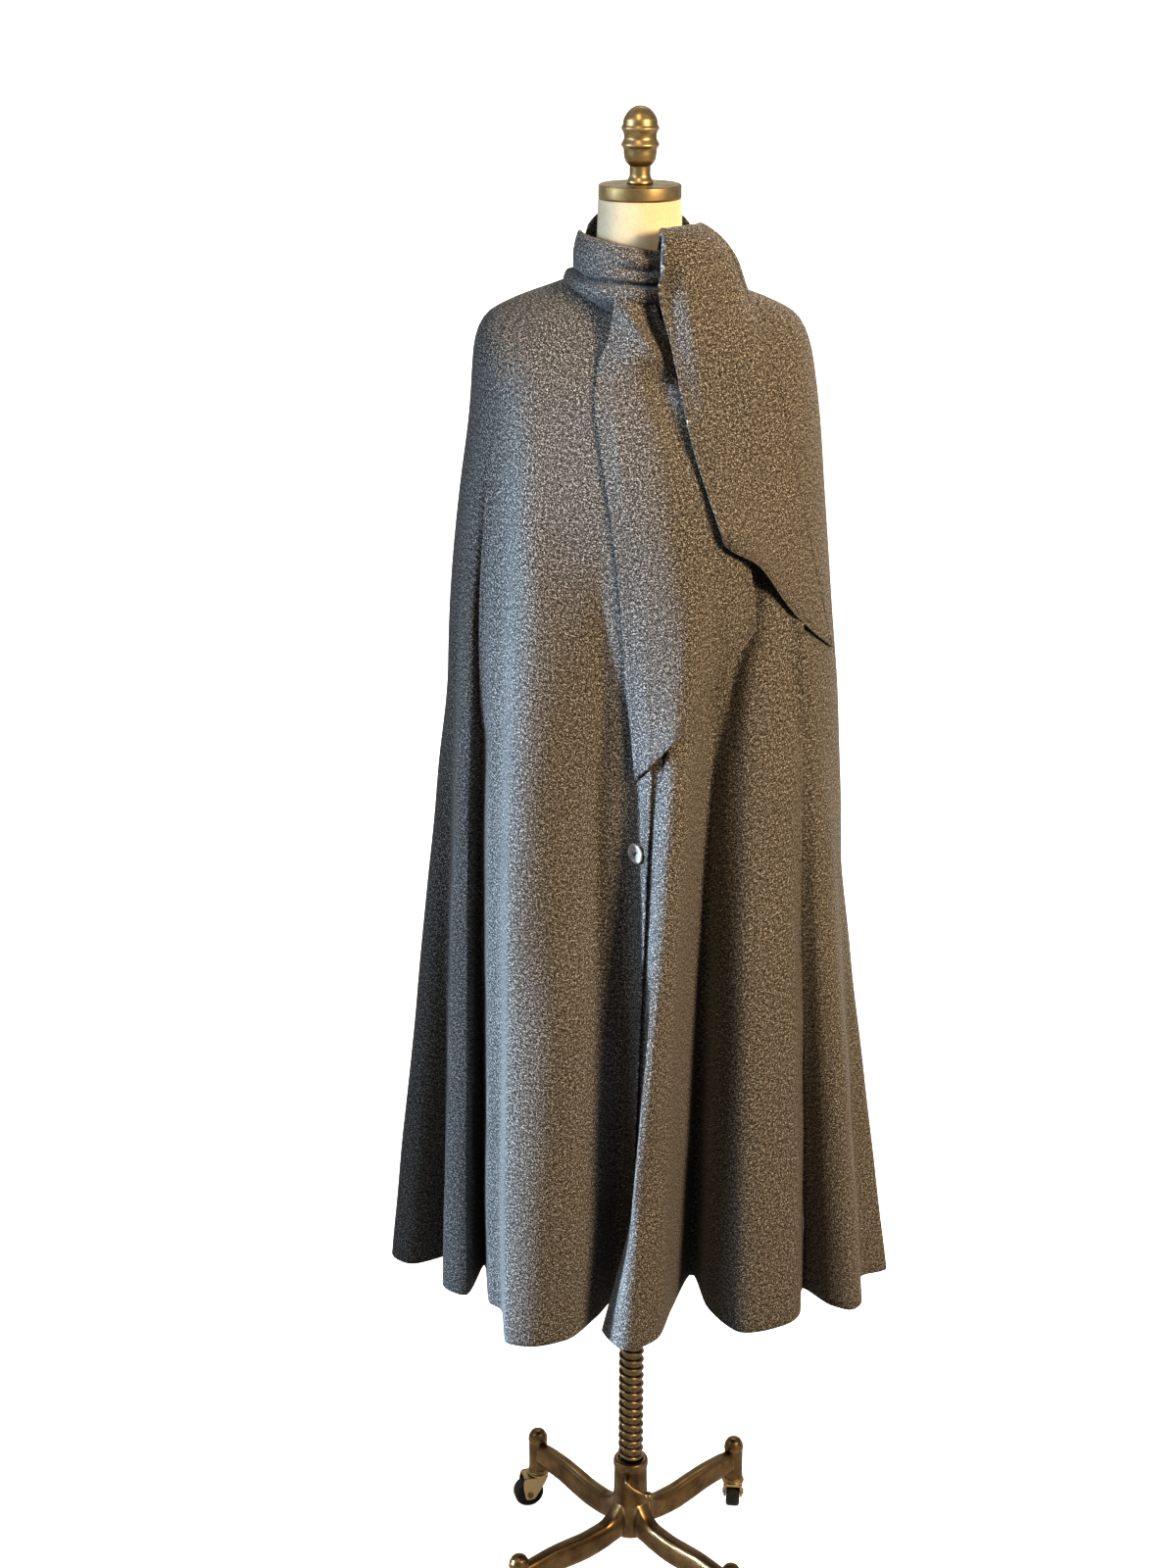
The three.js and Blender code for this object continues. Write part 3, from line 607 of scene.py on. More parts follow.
def makeTyre():
    material, tree, shader = newMaterial("blackTyre")
    dust = noise(tree, objectPlace(tree), tyreSet["scale"], 5.0, Roughness=0.7)
    mask = ranged(tree, dust, *tyreSet["mask"])
    fill(tree, shader, {
        "Base Color": blended(tree, mask, tyreSet["rubber"], tyreSet["dust"]),
        "Roughness": ranged(tree, dust, 0.0, 1.0, *tyreSet["rough"]),
    })
    return material


tyreMaterial = makeTyre()

# grey horn with pale cloudy streaks
hornSet = {
    "deep": (0.25, 0.245, 0.235, 1.0),
    "pale": (0.64, 0.635, 0.615, 1.0),
    "stretch": (1.0, 1.0, 0.35),
    "scale": 260.0,
    "mask": (0.35, 0.68),
    "rough": (0.22, 0.4),
    "coat": {"Coat Weight": 0.6, "Coat Roughness": 0.18},
}


def makeHorn():
    material, tree, shader = newMaterial("greyHorn")
    place = mapped(tree, objectPlace(tree), hornSet["stretch"])
    streak = noise(tree, place, hornSet["scale"], 4.0, Distortion=1.2)
    mask = ranged(tree, streak, *hornSet["mask"])
    fill(tree, shader, {
        "Base Color": blended(tree, mask, hornSet["deep"], hornSet["pale"]),
        "Roughness": ranged(tree, streak, 0.0, 1.0, *hornSet["rough"]),
        **hornSet["coat"],
    })
    return material


hornMaterial = makeHorn()
print("materials ready")

# cape: rings before the folds, then ridges and valleys once round, as in the solids
capeSet = {"wall": 2.0, "hem": 468.0, "growth": 1.12, "column": 8.0, "row": 11.0, "seamGap": 0.06}
# ring, left, right, front, back, side height, front height, back height
ringRows = np.array([
    (0, 55, 55, 57, 55, 1672, 1640, 1680),
    (1, 95, 98, 80, 80, 1659, 1606, 1646),
    (2, 139, 143, 100, 99, 1643, 1566, 1606),
    (3, 165, 170, 113, 111, 1627, 1536, 1576),
    (4, 177, 184, 121, 119, 1600, 1508, 1548),
    (5, 184, 197, 133, 127, 1524, 1456, 1490),
    (6, 197, 206, 141, 133, 1430, 1400, 1415),
    (7, 209, 217, 146, 141, 1310, 1305, 1308),
    (8, 214, 228, 152, 149, 1200, 1200, 1200),
    (9, 222, 235, 157, 157, 1090, 1090, 1090),
    (10, 229, 240, 161, 165, 980, 980, 980),
    (11, 235, 248, 164, 172, 870, 870, 870),
    (12, 241, 256, 166, 178, 760, 760, 760),
    (13, 247, 263, 168, 184, 660, 660, 660),
    (14, 252, 270, 170, 189, 562, 562, 562),
    (15, 256, 275, 172, 194, 468, 468, 468),
], float)
# turn, x and y at the hem, height where the fold begins
foldRows = np.array([
    (4, -38, -166, 740), (5.2, -32, -182, 780), (9, -10, -208, 1300), (13.5, 26, -184, 1350),
    (17, 44, -122, 1400), (22, 72, -42, 1420), (27.5, 88, -116, 1400), (34, 128, -171, 1400),
    (43, 176, -155, 1350), (48, 196, -132, 1300), (53, 205, -74, 1290), (58, 236, -112, 1250),
    (63, 258, -122, 1200), (68, 273, -104, 1150), (74, 276, -50, 1100), (84, 311, -28, 1000),
    (91, 300, 14, 1000), (101, 248, 42, 1250), (113, 268, 108, 1150), (125, 186, 104, 1400),
    (138, 186, 182, 1250), (151, 106, 128, 1450), (164, 72, 212, 1300), (177, 8, 150, 1450),
    (190, -52, 214, 1300), (204, -104, 132, 1450), (218, -172, 188, 1250), (231, -178, 104, 1400),
    (244, -250, 104, 1200), (257, -232, 40, 1300), (270, -297, 4, 1225), (277, -272, -18, 1225),
    (286, -230, 2, 1300), (291, -230, -66, 1450), (296, -203, -90, 1500), (303, -182, -20, 1500),
    (309, -173, -106, 1480), (314, -158, -122, 1450), (320, -150, -192, 1450), (331, -120, -200, 1420),
    (343, -80, -186, 1400), (352, -44, -136, 1380), (358, -22, -98, 1350), (363.4, -8, -108, 1150),
], float)
lastRing = ringRows[-1, 0]
ringAt = [None] + [tableCurve(ringRows[:, 0], ringRows[:, k]) for k in range(1, 8)]
foldAt = [None] + [tableCurve(foldRows[:, 0], foldRows[:, k]) for k in range(1, 4)]


def paired(turn, ring):
    return np.broadcast_arrays(np.asarray(turn, float), np.asarray(ring, float))


def bareCape(turn, ring):
    turn, ring = paired(turn, ring)
    s = np.sin(np.radians(turn))
    c = np.cos(np.radians(turn))
    x = s * np.where(s < 0, ringAt[1](ring), ringAt[2](ring))
    y = -c * np.where(c > 0, ringAt[3](ring), ringAt[4](ring))
    ends = np.where(c > 0, ringAt[6](ring), ringAt[7](ring))
    return np.stack([x, y, mixed(ends, ringAt[5](ring), s * s)], -1)


def foldedCape(turn, ring):
    turn, ring = paired(turn, ring)
    p = bareCape(turn, ring)
    begin = foldAt[3](turn)
    deep = np.clip((begin - p[..., 2]) / (begin - capeSet["hem"]), 0.0, 1.0) ** capeSet["growth"]
    hem = bareCape(turn, lastRing)
    p[..., 0] += (foldAt[1](turn) - hem[..., 0]) * deep
    p[..., 1] += (foldAt[2](turn) - hem[..., 1]) * deep
    return p


def surfaceOut(surface, turn, ring, turnStep=0.3, ringStep=0.03):
    along = surface(turn + turnStep, ring) - surface(turn - turnStep, ring)
    lower, upper = np.minimum(ring + ringStep, lastRing), np.maximum(ring - ringStep, 0.0)
    down = surface(turn, lower) - surface(turn, upper)
    return unit(np.cross(down, along))


# the left front runs in behind the right front's edge, and hangs free of it near the hem
lapSet = {
    "free": 610.0, "freeOver": 130.0,
    "end": 760.0, "endOver": 240.0,
    "first": 4.0, "span": 1.2, "next": 5.2,
    "edge": 3.7, "turn": 5.2, "ahead": 4.2, "most": 3.4,
    "gap": 0.9, "slide": 4.0, "blend": 2.2,
}


def leftFrontCape(turn, ring):
    turn, ring = paired(turn, ring)
    p = foldedCape(turn, ring)
    hold = softStep((p[..., 2] - lapSet["free"]) / lapSet["freeOver"])
    tuck = softStep((p[..., 2] - lapSet["end"]) / lapSet["endOver"])
    share = np.clip((turn - lapSet["first"]) / lapSet["span"], 0.0, 1.0)
    edge = mixed(lapSet["edge"], lapSet["edge"] - lapSet["turn"], tuck)
    target = mixed(edge, lapSet["ahead"], share) + np.maximum(turn - lapSet["next"], 0.0)
    at = np.minimum(target, lapSet["most"]) + 360.0
    behind = foldedCape(at, ring) - surfaceOut(foldedCape, at, ring) * (capeSet["wall"] + lapSet["gap"])
    behind[..., 0] += np.maximum(target - lapSet["most"], 0.0) * lapSet["slide"]
    weight = hold * (1.0 - softStep((turn - lapSet["next"]) / lapSet["blend"]))
    return mixed(p, behind, weight[..., None])


# columns evenly apart at the widest of three rings, and rows evenly apart at one turn
def turnStops(first, last, step):
    fine = np.linspace(first, last, 4001)
    reach = np.zeros(len(fine) - 1)
    for ring in (3.0, 8.0, lastRing):
        reach = np.maximum(reach, np.linalg.norm(np.diff(foldedCape(fine, ring), axis=0), axis=1))
    return evenStops(np.insert(reach.cumsum(), 0, 0.0), fine, step)


def ringStops(step):
    fine = np.linspace(0.0, lastRing, 3001)
    return evenStops(runLength(bareCape(40.0, fine)), fine, step)


# x, z, height and width left and right down each ridge or hollow that the fronts fall into
frontFolds = [
    [(-118, 1600, 0, 16, 18), (-124, 1515, 7, 17, 26), (-121, 1365, 14, 17, 34), (-130, 1202, 14, 15, 42),
     (-144, 1031, 9, 13, 40), (-153, 900, 5, 12, 24), (-156, 780, 2, 12, 14), (-154, 560, 0, 12, 12)],
    [(-44, 1440, 0, 28, 28), (-40, 1340, -8, 30, 30), (-38, 1250, -15, 30, 30), (-42, 1170, -21, 31, 31),
     (-47, 1090, -26, 32, 32), (-46, 980, -28, 32, 32), (-41, 860, -19, 30, 30), (-36, 740, -7, 28, 28),
     (-34, 640, 0, 28, 28)],
    [(47, 1240, 0, 22, 22), (47, 1190, 7, 23, 23), (44, 1113, 14, 25, 25), (40, 1052, 17, 26, 26),
     (32, 947, 18, 26, 24), (24, 864, 16, 25, 22), (14, 765, 11, 24, 20), (2, 640, 0, 22, 20)],
    [(128, 1420, 0, 14, 14), (125, 1361, -18, 15, 14), (117, 1307, -24, 19, 16), (103, 1250, -24, 24, 18),
     (91, 1180, -18, 24, 20), (82, 1110, -10, 24, 22), (76, 1040, -7, 22, 22), (72, 940, 0, 22, 22)],
]


def foldLift(grid, rows, soft=4.0, sharpness=0.8):
    rows = np.asarray(rows, float)[::-1]
    middle, height, left, right = (tableCurve(rows[:, 1], rows[:, k])(grid[..., 2]) for k in (0, 2, 3, 4))
    reach = np.where(grid[..., 0] < middle, left, right)
    crease = np.exp(-(np.hypot(grid[..., 0] - middle, soft) - soft) / (sharpness * reach))
    return height * np.where(height < 0.0, crease, bump(grid[..., 0], middle, reach))


rippleSet = {"height": 1.1, "top": 1560.0, "over": 500.0, "short": 90.0, "long": 320.0}
# seam turn, lowest and highest point, how far the edge stands off
slitRows = [(53.0, 1175.0, 1350.0, 8.0), (303.0, 1165.0, 1500.0, 4.0)]
slitSet = {"over": 45.0, "width": 2.6, "sinkTop": 1500.0, "sinkOver": 60.0}
edgeSet = {"off": 2.5, "top": 1260.0, "over": 120.0, "turn": 362.2, "span": 1.2}


def capeGrid(surface, first, last, seamFirst, seamLast, front, seed):
    turns = turnStops(first, last, capeSet["column"])
    if seamFirst:
        turns[0] += capeSet["seamGap"]
    if seamLast:
        turns[-1] -= capeSet["seamGap"]
    rings = ringStops(capeSet["row"])
    grid = surface(turns[None, :], rings[:, None])
    z = grid[..., 2]
    # slow ripples that grow from the shoulders to the hem, only outwards
    fade = softStep((rippleSet["top"] - z) / rippleSet["over"])
    wave = clothWaves(grid, seed, rippleSet["short"], rippleSet["long"])
    lift = fade * rippleSet["height"] * (wave * 0.5 + 0.5)
    # arm slits: the front's edge stands off and the back's edge falls in behind it
    for seam, low, high, proud in slitRows:
        window = softStep((z - low) / slitSet["over"]) * softStep((high - z) / slitSet["over"])
        sink = -1.0 * proud * softStep((slitSet["sinkTop"] - z) / slitSet["sinkOver"])
        lift = lift + (proud if front else sink) * window * bump(turns[None, :], seam, slitSet["width"])
    # the right front's edge stands a little off the left front
    if not seamLast:
        window = softStep((edgeSet["top"] - z) / edgeSet["over"])
        lift = lift + edgeSet["off"] * window * softStep((turns[None, :] - edgeSet["turn"]) / edgeSet["span"])
    grid = grid + gridOut(grid) * lift[..., None]
    if front:
        for rows in frontFolds:
            grid[..., 1] -= foldLift(grid, rows)
    return grid, turns, rings


# name, surface, turns, whether each side is a seam, whether it is a front, node, seed
capeParts = [
    ("frontLeft", leftFrontCape, 4.0, 53.0, False, True, True, "front_left", 11),
    ("backPanel", foldedCape, 53.0, 303.0, True, True, False, "back", 12),
    ("frontRight", foldedCape, 303.0, 363.4, True, False, True, "front_right", 13),
]
capeGrids = {}
for name, surface, first, last, seamFirst, seamLast, front, node, seed in capeParts:
    grid, turns, rings = capeGrid(surface, first, last, seamFirst, seamLast, front, seed)
    capeGrids[name] = (grid, turns, rings)
    piece = setPiece(clothPiece(name, grid, capeSet["wall"], woolMaterial), "upper", "wool", node)
    hemLength = float(runLength(grid[-1])[-1]) * mm
    drop = float(runLength(grid)[-1].max()) * mm


# scarf: places on the bare cape, then rows of each tail from edge to edge
def ringOf(turn, z):
    def above(ring):
        return bareCape(turn, ring)[..., 2] > z

    return halved(above, np.zeros_like(z), np.full_like(z, lastRing), 30)


def onCape(x, z, lift, widest=88.0):
    def leftOf(turn):
        return bareCape(turn, ringOf(turn, z))[..., 0] < x

    turn = halved(leftOf, np.full_like(x, -widest), np.full_like(x, widest), 26)
    ring = ringOf(turn, z)
    return bareCape(turn, ring) + surfaceOut(bareCape, turn, ring) * lift[..., None]


# how far forward the cloth below stands at each x and z, with its hollows bridged
def frontField(grids, low, high, step, bridge):
    wide = int((high[0] - low[0]) / step) + 1
    tall = int((high[1] - low[1]) / step) + 1
    farOff = 1e3
    field = np.full((tall, wide), farOff)
    for grid in grids:
        for axis, more in ((0, 5), (1, 4)):
            at = np.linspace(0, grid.shape[axis] - 1, grid.shape[axis] * more)
            i = np.minimum(at.astype(int), grid.shape[axis] - 2)
            f = (at - i).reshape((-1, 1, 1) if axis == 0 else (1, -1, 1))
            grid = np.take(grid, i, axis) * (1 - f) + np.take(grid, i + 1, axis) * f
        spots = grid.reshape(-1, 3)
        ix = np.rint((spots[:, 0] - low[0]) / step).astype(int)
        iz = np.rint((spots[:, 2] - low[1]) / step).astype(int)
        keep = (ix >= 0) & (ix < wide) & (iz >= 0) & (iz < tall)
        np.minimum.at(field, (iz[keep], ix[keep]), spots[keep, 1])

    def moved(a, dz, dx):
        padded = np.pad(a, ((abs(dz),) * 2, (abs(dx),) * 2), mode="edge")
        return padded[abs(dz) + dz:abs(dz) + dz + tall, abs(dx) + dx:abs(dx) + dx + wide]

    for _ in range(5):
        near = np.minimum.reduce([moved(field, *d) for d in ((0, 1), (0, -1), (1, 0), (-1, 0))])
        field = np.where(field > farOff / 2, near, field)
    reach = int(bridge / step)
    ahead = np.minimum.reduce([moved(field, 0, d) for d in range(-reach, reach + 1)])
    ahead = np.maximum.reduce([moved(ahead, 0, d) for d in range(-reach, reach + 1)])
    for _ in range(3):
        ahead = sum(moved(ahead, dz, dx) for dz in (-2, 0, 2) for dx in (-2, 0, 2)) / 9.0
        ahead = np.minimum(ahead, field)

    def depth(x, z):
        fx = np.clip((x - low[0]) / step, 0, wide - 1.001)
        fz = np.clip((z - low[1]) / step, 0, tall - 1.001)
        return between(ahead, fz, fx)

    return depth


scarfSet = {"wall": 2.4, "across": 72, "down": 150}
# hanging rows: x, y and z at each end, crown, nothing
# lying rows have None for y, and in the side tail a lift at each end
centreRows = [
    (-18, -72, 1678, 8, -72, 1678, 1, 0),
    (-23, -77, 1664, 13, -77, 1664, 2, 0),
    (-27, -82, 1652, 16, -84, 1652, 4, 0),
    (-31, -86, 1622, 28, -94, 1626, 7, 0),
    (-42, -92, 1592, 44, -100, 1598, 7, 0),
    (-47, None, 1560, 55, None, 1572, 0, 0),
    (-44, None, 1530, 66, None, 1545, 0, 0),
    (-35, None, 1470, 87, None, 1492, 0, 0),
    (-25, None, 1400, 105, None, 1430, 0, 0),
    (-18, None, 1320, 118, None, 1380, 0, 0),
    (-12, None, 1235, 124, None, 1340, 0, 0),
    (-4, None, 1149, 126, None, 1309, 0, 0),
]
sideRows = [
    (15, -53, 1690, 51, -18, 1692, 2, 0),
    (19, -57, 1714, 55, -21, 1714, 2, 0),
    (20, -69, 1727, 63, -32, 1728, 4, 0),
    (17, -86, 1717, 82, -38, 1717, 10, 0),
    (15, -97, 1692, 100, -38, 1695, 15, 0),
    (20, -102, 1656, 114, -36, 1658, 18, 0),
    (30, -108, 1618, 134, -62, 1619, 13, 0),
    (41, None, 1560, 148, None, 1562, 16, 9),
    (52, None, 1512, 163, None, 1500, 14, 5),
    (72, None, 1448, 181, None, 1422, 14, 3.4),
    (80, None, 1422, 197, None, 1345, 15, 4),
    (85, None, 1406, 214, None, 1267, 10, 4),
]

# columns lie closer at a tail's edges, where the stitching pulls the cloth in
gatherShare = 0.6
# the left edge lies close, the rest bridges the hollows, the low right stands off
lieSet = {"rest": 3.6, "belly": (0.5, 0.28, 6.0), "right": 11.0, "from": 1400.0, "over": 170.0, "close": 0.3}


def tailGrid(rows, across, down, below=None, touch=None):
    t = np.linspace(0.0, 1.0, across + 1)
    t = mixed(t, t - np.sin(2 * math.pi * t) / (2 * math.pi), gatherShare)

    def lying(x, z):
        middle, spread, belly = lieSet["belly"]
        low = softStep((lieSet["from"] - z) / lieSet["over"])
        off = lieSet["rest"] + (belly * bump(t, middle, spread) + lieSet["right"] * t) * low
        return mixed(touch(x, z), below(x, z), softStep(t / lieSet["close"])) - off

    lines = []
    for x1, y1, z1, x2, y2, z2, first, second in rows:
        x = mixed(x1, x2, t)
        z = mixed(z1, z2, t)
        if y1 is None and below:
            lines.append(np.stack([x, lying(x, z), z], -1))
            continue
        if y1 is None:
            lines.append(onCape(x, z, mixed(first, second, t)))
            continue
        away = unit(np.array([y2 - y1, x1 - x2], float))
        bow = 4 * t * (1 - t) * first
        lines.append(np.stack([x + away[0] * bow, mixed(y1, y2, t) + away[1] * bow, z], -1))
    lines = np.array(lines)
    key = rowLength(lines)
    s = np.linspace(0.0, key[-1], down + 1)
    grid = tableCurve(key, lines)(s)
    if below:
        lies = tableCurve(key, [float(row[1] is None) for row in rows])(s)[:, None]
        grid[..., 1] = mixed(grid[..., 1], lying(grid[..., 0], grid[..., 2]), lies)
    return grid, s / key[-1], t


# the two rows of stitching, how far in, how deep they pull and how wide
stitchSet = {"rows": ((6.5, 0.5), (9.5, 0.35)), "width": 1.6}


def edgePull(grid, t):
    width = np.linalg.norm(grid[:, -1] - grid[:, 0], axis=-1)[:, None]
    near = np.minimum(t, 1.0 - t)[None, :] * width
    return sum(-depth * bump(near, inset, stitchSet["width"]) for inset, depth in stitchSet["rows"])


# path of x and z, depth, width
centreCreases = [
    ([(-24, 1652), (-9, 1634), (8, 1616), (31, 1587)], 5.5, 7.0),
    ([(4, 1654), (14, 1635), (26, 1611), (40, 1580)], -14.0, 12.0),
    ([(-36, 1604), (-24, 1599), (-12, 1601)], -5.0, 4.0),
    ([(-11, 1601), (-7, 1583), (6, 1522), (17, 1470), (30, 1408), (40, 1365), (46, 1312), (46, 1257)],
     8.0, 36.0),
    ([(9, 1597), (18, 1572), (32, 1531), (47, 1495)], -6.0, 10.0),
    ([(-30, 1560), (-22, 1500), (-14, 1430)], 2.5, 10.0),
]
sideCreases = [
    ([(38, 1716), (46, 1675), (52, 1636), (58, 1594), (66, 1550)], 5.0, 12.0),
    ([(27, 1700), (30, 1660), (36, 1620)], -2.5, 8.0),
    ([(92, 1700), (104, 1640), (118, 1580), (130, 1500)], 1.6, 24.0),
    ([(84, 1640), (98, 1560), (112, 1480), (130, 1400)], -1.8, 20.0),
]
frontGrids = [capeGrids["frontLeft"][0], capeGrids["frontRight"][0]]
fieldSet = {"low": (-150.0, 1100.0), "high": (230.0, 1690.0), "step": 3.0, "bridge": 15.0, "close": 3.0}
capeBelow, capeTouch = (
    frontField(frontGrids, fieldSet["low"], fieldSet["high"], fieldSet["step"], fieldSet[reach])
    for reach in ("bridge", "close")
)
centreGrid, s, t = tailGrid(centreRows, scarfSet["across"], scarfSet["down"], capeBelow, capeTouch)
lift = edgePull(centreGrid, t)
for path, depth, width in centreCreases:
    lift = lift + creaseLift(centreGrid, path, depth, width)
centreGrid = centreGrid + gridOut(centreGrid) * lift[..., None]

sideGrid, s, t = tailGrid(sideRows, scarfSet["across"], scarfSet["down"])
lift = edgePull(sideGrid, t)
creaseSet = {"from": 0.16, "over": 0.06}
fade = softStep((s[:, None] - creaseSet["from"]) / creaseSet["over"])
for path, depth, width in sideCreases:
    lift = lift + creaseLift(sideGrid, path, depth, width) * fade
sideGrid = sideGrid + gridOut(sideGrid) * lift[..., None]
# the foot's left half is caught up and stands off: size, middle, width
footSet = {
    "from": 0.72, "over": 0.28, "caught": (17.0, 0.3, 0.2),
    "off": ((4.0, 0.16, 0.2), (2.0, 0.72, 0.14)),
}
foot = softStep((s[:, None] - footSet["from"]) / footSet["over"])
size, middle, width = footSet["caught"]
sideGrid[..., 2] += foot * size * bump(t[None, :], middle, width)
for size, middle, width in footSet["off"]:
    sideGrid[..., 1] -= foot * size * bump(t[None, :], middle, width)
# the upper left edge rolls forward on itself
curlSet = {"reach": 9.0, "radius": 2.8, "from": 1650.0, "to": 1692.0, "start": 0.1, "over": 0.05}
out = gridOut(sideGrid)
along = unit(np.gradient(sideGrid, axis=1))
hold = softStep((sideGrid[:, :1, 2] - curlSet["from"]) / (curlSet["to"] - curlSet["from"]))
hold = hold * softStep((s[:, None] - curlSet["start"]) / curlSet["over"])
rolled = np.clip(curlSet["reach"] - runLength(sideGrid, 1), 0.0, None) * hold
bend = rolled / curlSet["radius"]
over = rolled - curlSet["radius"] * np.sin(bend)
rise = curlSet["radius"] * (1.0 - np.cos(bend))
sideGrid = sideGrid + along * over[..., None] + out * rise[..., None]


# bands round the neck: turns in degrees, then parts from top to foot
def bandStops(band):
    turn = np.linspace(band["from"], band["to"], band["columns"])[None, :]
    part = np.linspace(0.0, band["parts"], band["rows"])[:, None]
    return turn, np.sin(np.radians(turn)), np.cos(np.radians(turn)), part


standSet = {
    "from": 86.0, "to": 252.0, "columns": 150, "parts": 1.0, "rows": 40,
    "foot": 57.6, "belly": 62.0, "rim": 58.0,
    "sideTop": 1714.0, "backTop": 1735.0, "off": 0.5, "wave": 0.5, "waves": (21, 50.0, 140.0),
}
turn, s, c, part = bandStops(standSet)
foot = bareCape(turn, 0.0)[..., 2] + standSet["off"]
top = mixed(standSet["sideTop"], standSet["backTop"], softStep(np.maximum(-c, 0.0)))
belly = np.sin(math.pi * part) * (standSet["belly"] - standSet["foot"])
reach = mixed(standSet["rim"], standSet["foot"], part) + belly
standGrid = np.stack([reach * s, -reach * c, mixed(top, foot, part)], -1)
wave = clothWaves(standGrid, *standSet["waves"])
lift = standSet["wave"] * (wave * 0.5 + 0.5) * np.sin(math.pi * part)
standGrid = standGrid + gridOut(standGrid) * lift[..., None]

wrapSet = {
    "from": 247.0, "to": 388.0, "columns": 170, "parts": 9.0, "rows": 112,
    "frontReach": 1.12, "wave": 0.5, "waves": (22, 40.0, 120.0), "frontOf": 10.0, "rimFade": 0.8,
    "top": (1717.0, 1700.0), "drop": 16.0, "dropOver": 0.16,
    "foot": (1666.0, 1657.5), "footRate": 1.8, "nearRate": 2.6, "sink": (0.05, 0.04),
}
# part from top to bottom, radius, rise, and how the left end is let out or drawn in
wrapRows = np.array([
    (0, 61.5, 1, 1.05), (1, 66, 0.97, 0.98), (2, 72, 0.8, 0.9), (3, 76, 0.56, 0.84),
    (4, 75.5, 0.36, 0.87), (5, 66.5, 0.26, 0.97), (6, 76.5, 0.17, 1.02), (7, 77.5, -0.02, 1.06),
    (8, 71, -0.2, 1.06), (9, 60, -0.4, 1.05),
], float)
# the lower layer's line, a crease into the knot, and the rolls between them
wrapCreases = [
    ([(-29, 1690), (-18, 1686), (-4, 1685), (22, 1684)], -6.0, 4.0),
    ([(-26, 1697), (-8, 1693), (20, 1692)], 3.0, 4.5),
    ([(-60, 1704), (-30, 1700), (0, 1697), (22, 1692)], 2.0, 8.0),
    ([(2, 1704), (10, 1700), (17, 1699)], -4.0, 4.0),
    ([(-50, 1664), (-20, 1659), (18, 1662)], 2.0, 4.0),
]
turn, s, c, part = bandStops(wrapSet)
reach, rise, near = (tableCurve(wrapRows[:, 0], wrapRows[:, k])(part) for k in (1, 2, 3))
along = (turn - wrapSet["from"]) / (wrapSet["to"] - wrapSet["from"])
top = mixed(*wrapSet["top"], along * along) - wrapSet["drop"] * (1.0 - softStep(along / wrapSet["dropOver"]))
foot = mixed(*wrapSet["foot"], softStep(along * wrapSet["footRate"]))
stretch = np.where(c > 0, mixed(1.0, wrapSet["frontReach"], c), 1.0)
reach = reach * mixed(near, 1.0, softStep(along * wrapSet["nearRate"]))
more, least = wrapSet["sink"]
rise = np.where(rise < 0.0, rise * np.clip(c + more, least, 1.0), rise)
wrapGrid = np.stack([reach * s, -reach * c * stretch, mixed(foot, top, rise)], -1)
lift = wrapSet["wave"] * clothWaves(wrapGrid, *wrapSet["waves"])
for path, depth, width in wrapCreases:
    lift = lift + creaseLift(wrapGrid, path, depth, width) * (wrapGrid[..., 1] < wrapSet["frontOf"])
wrapGrid = wrapGrid + gridOut(wrapGrid) * (lift * softStep(part / wrapSet["rimFade"]))[..., None]

scarfParts = [
    ("scarfCentreTail", centreGrid, "scarf_tail_centre", "draped", ["frontLeft", "frontRight"]),
    ("scarfSideTail", sideGrid, "scarf_tail_side", "draped", ["scarfCentreTail", "frontLeft"]),
    ("scarfStand", standGrid, "scarf_stand_back", "gathered", ["form_torso"]),
    ("scarfWrap", wrapGrid, "scarf_wrap_front", "gathered", ["form_torso"]),
]
for name, grid, node, held, under in scarfParts:
    piece = setPiece(clothPiece(name, grid, scarfSet["wall"], woolMaterial), "upper", "wool", node)
    wide = float(runLength(grid, 1)[:, -1].max()) * mm
    long = float(runLength(grid)[-1].max()) * mm


# geometry nodes: a shape is made real, given its material and sent out
def endTree(tree, given, end, shape):
    real = addNode(tree, "GeometryNodeRealizeInstances", {0: shape}).outputs[0]
    values = {"Geometry": real, "Material": given["Material"]}
    fill(tree, end, {0: addNode(tree, "GeometryNodeSetMaterial", values).outputs[0]})
    return tree


# stitches along paths
def makeStitchTree():
    tree, given, end = newGroup(
        "GeometryNodeTree", "stitchRow",
        {"Geometry": "Geometry", "Pitch": "Float", "Length": "Float", "Thickness": "Float",
         "Material": "Material"},
        {"Geometry": "Geometry"},
    )
    path = addNode(tree, "GeometryNodeMeshToCurve", {"Mesh": given["Geometry"]}).outputs[0]
    apart = {"Curve": path, "Length": given["Pitch"]}
    even = addNode(tree, "GeometryNodeResampleCurve", apart, mode="LENGTH")
    thread = addNode(tree, "GeometryNodeMeshUVSphere", {"Segments": 6, "Rings": 4, "Radius": 0.5})
    tangent = addNode(tree, "GeometryNodeInputTangent").outputs[0]
    align = addNode(tree, "FunctionNodeAlignRotationToVector", {"Vector": tangent}, axis="X")
    size = {0: given["Length"], 1: given["Thickness"], 2: given["Thickness"]}
    dots = addNode(tree, "GeometryNodeInstanceOnPoints", {
        "Points": even.outputs[0],
        "Instance": thread.outputs["Mesh"],
        "Rotation": align.outputs[0],
        "Scale": addNode(tree, "ShaderNodeCombineXYZ", size).outputs[0],
    })
    return endTree(tree, given, end, dots.outputs[0])


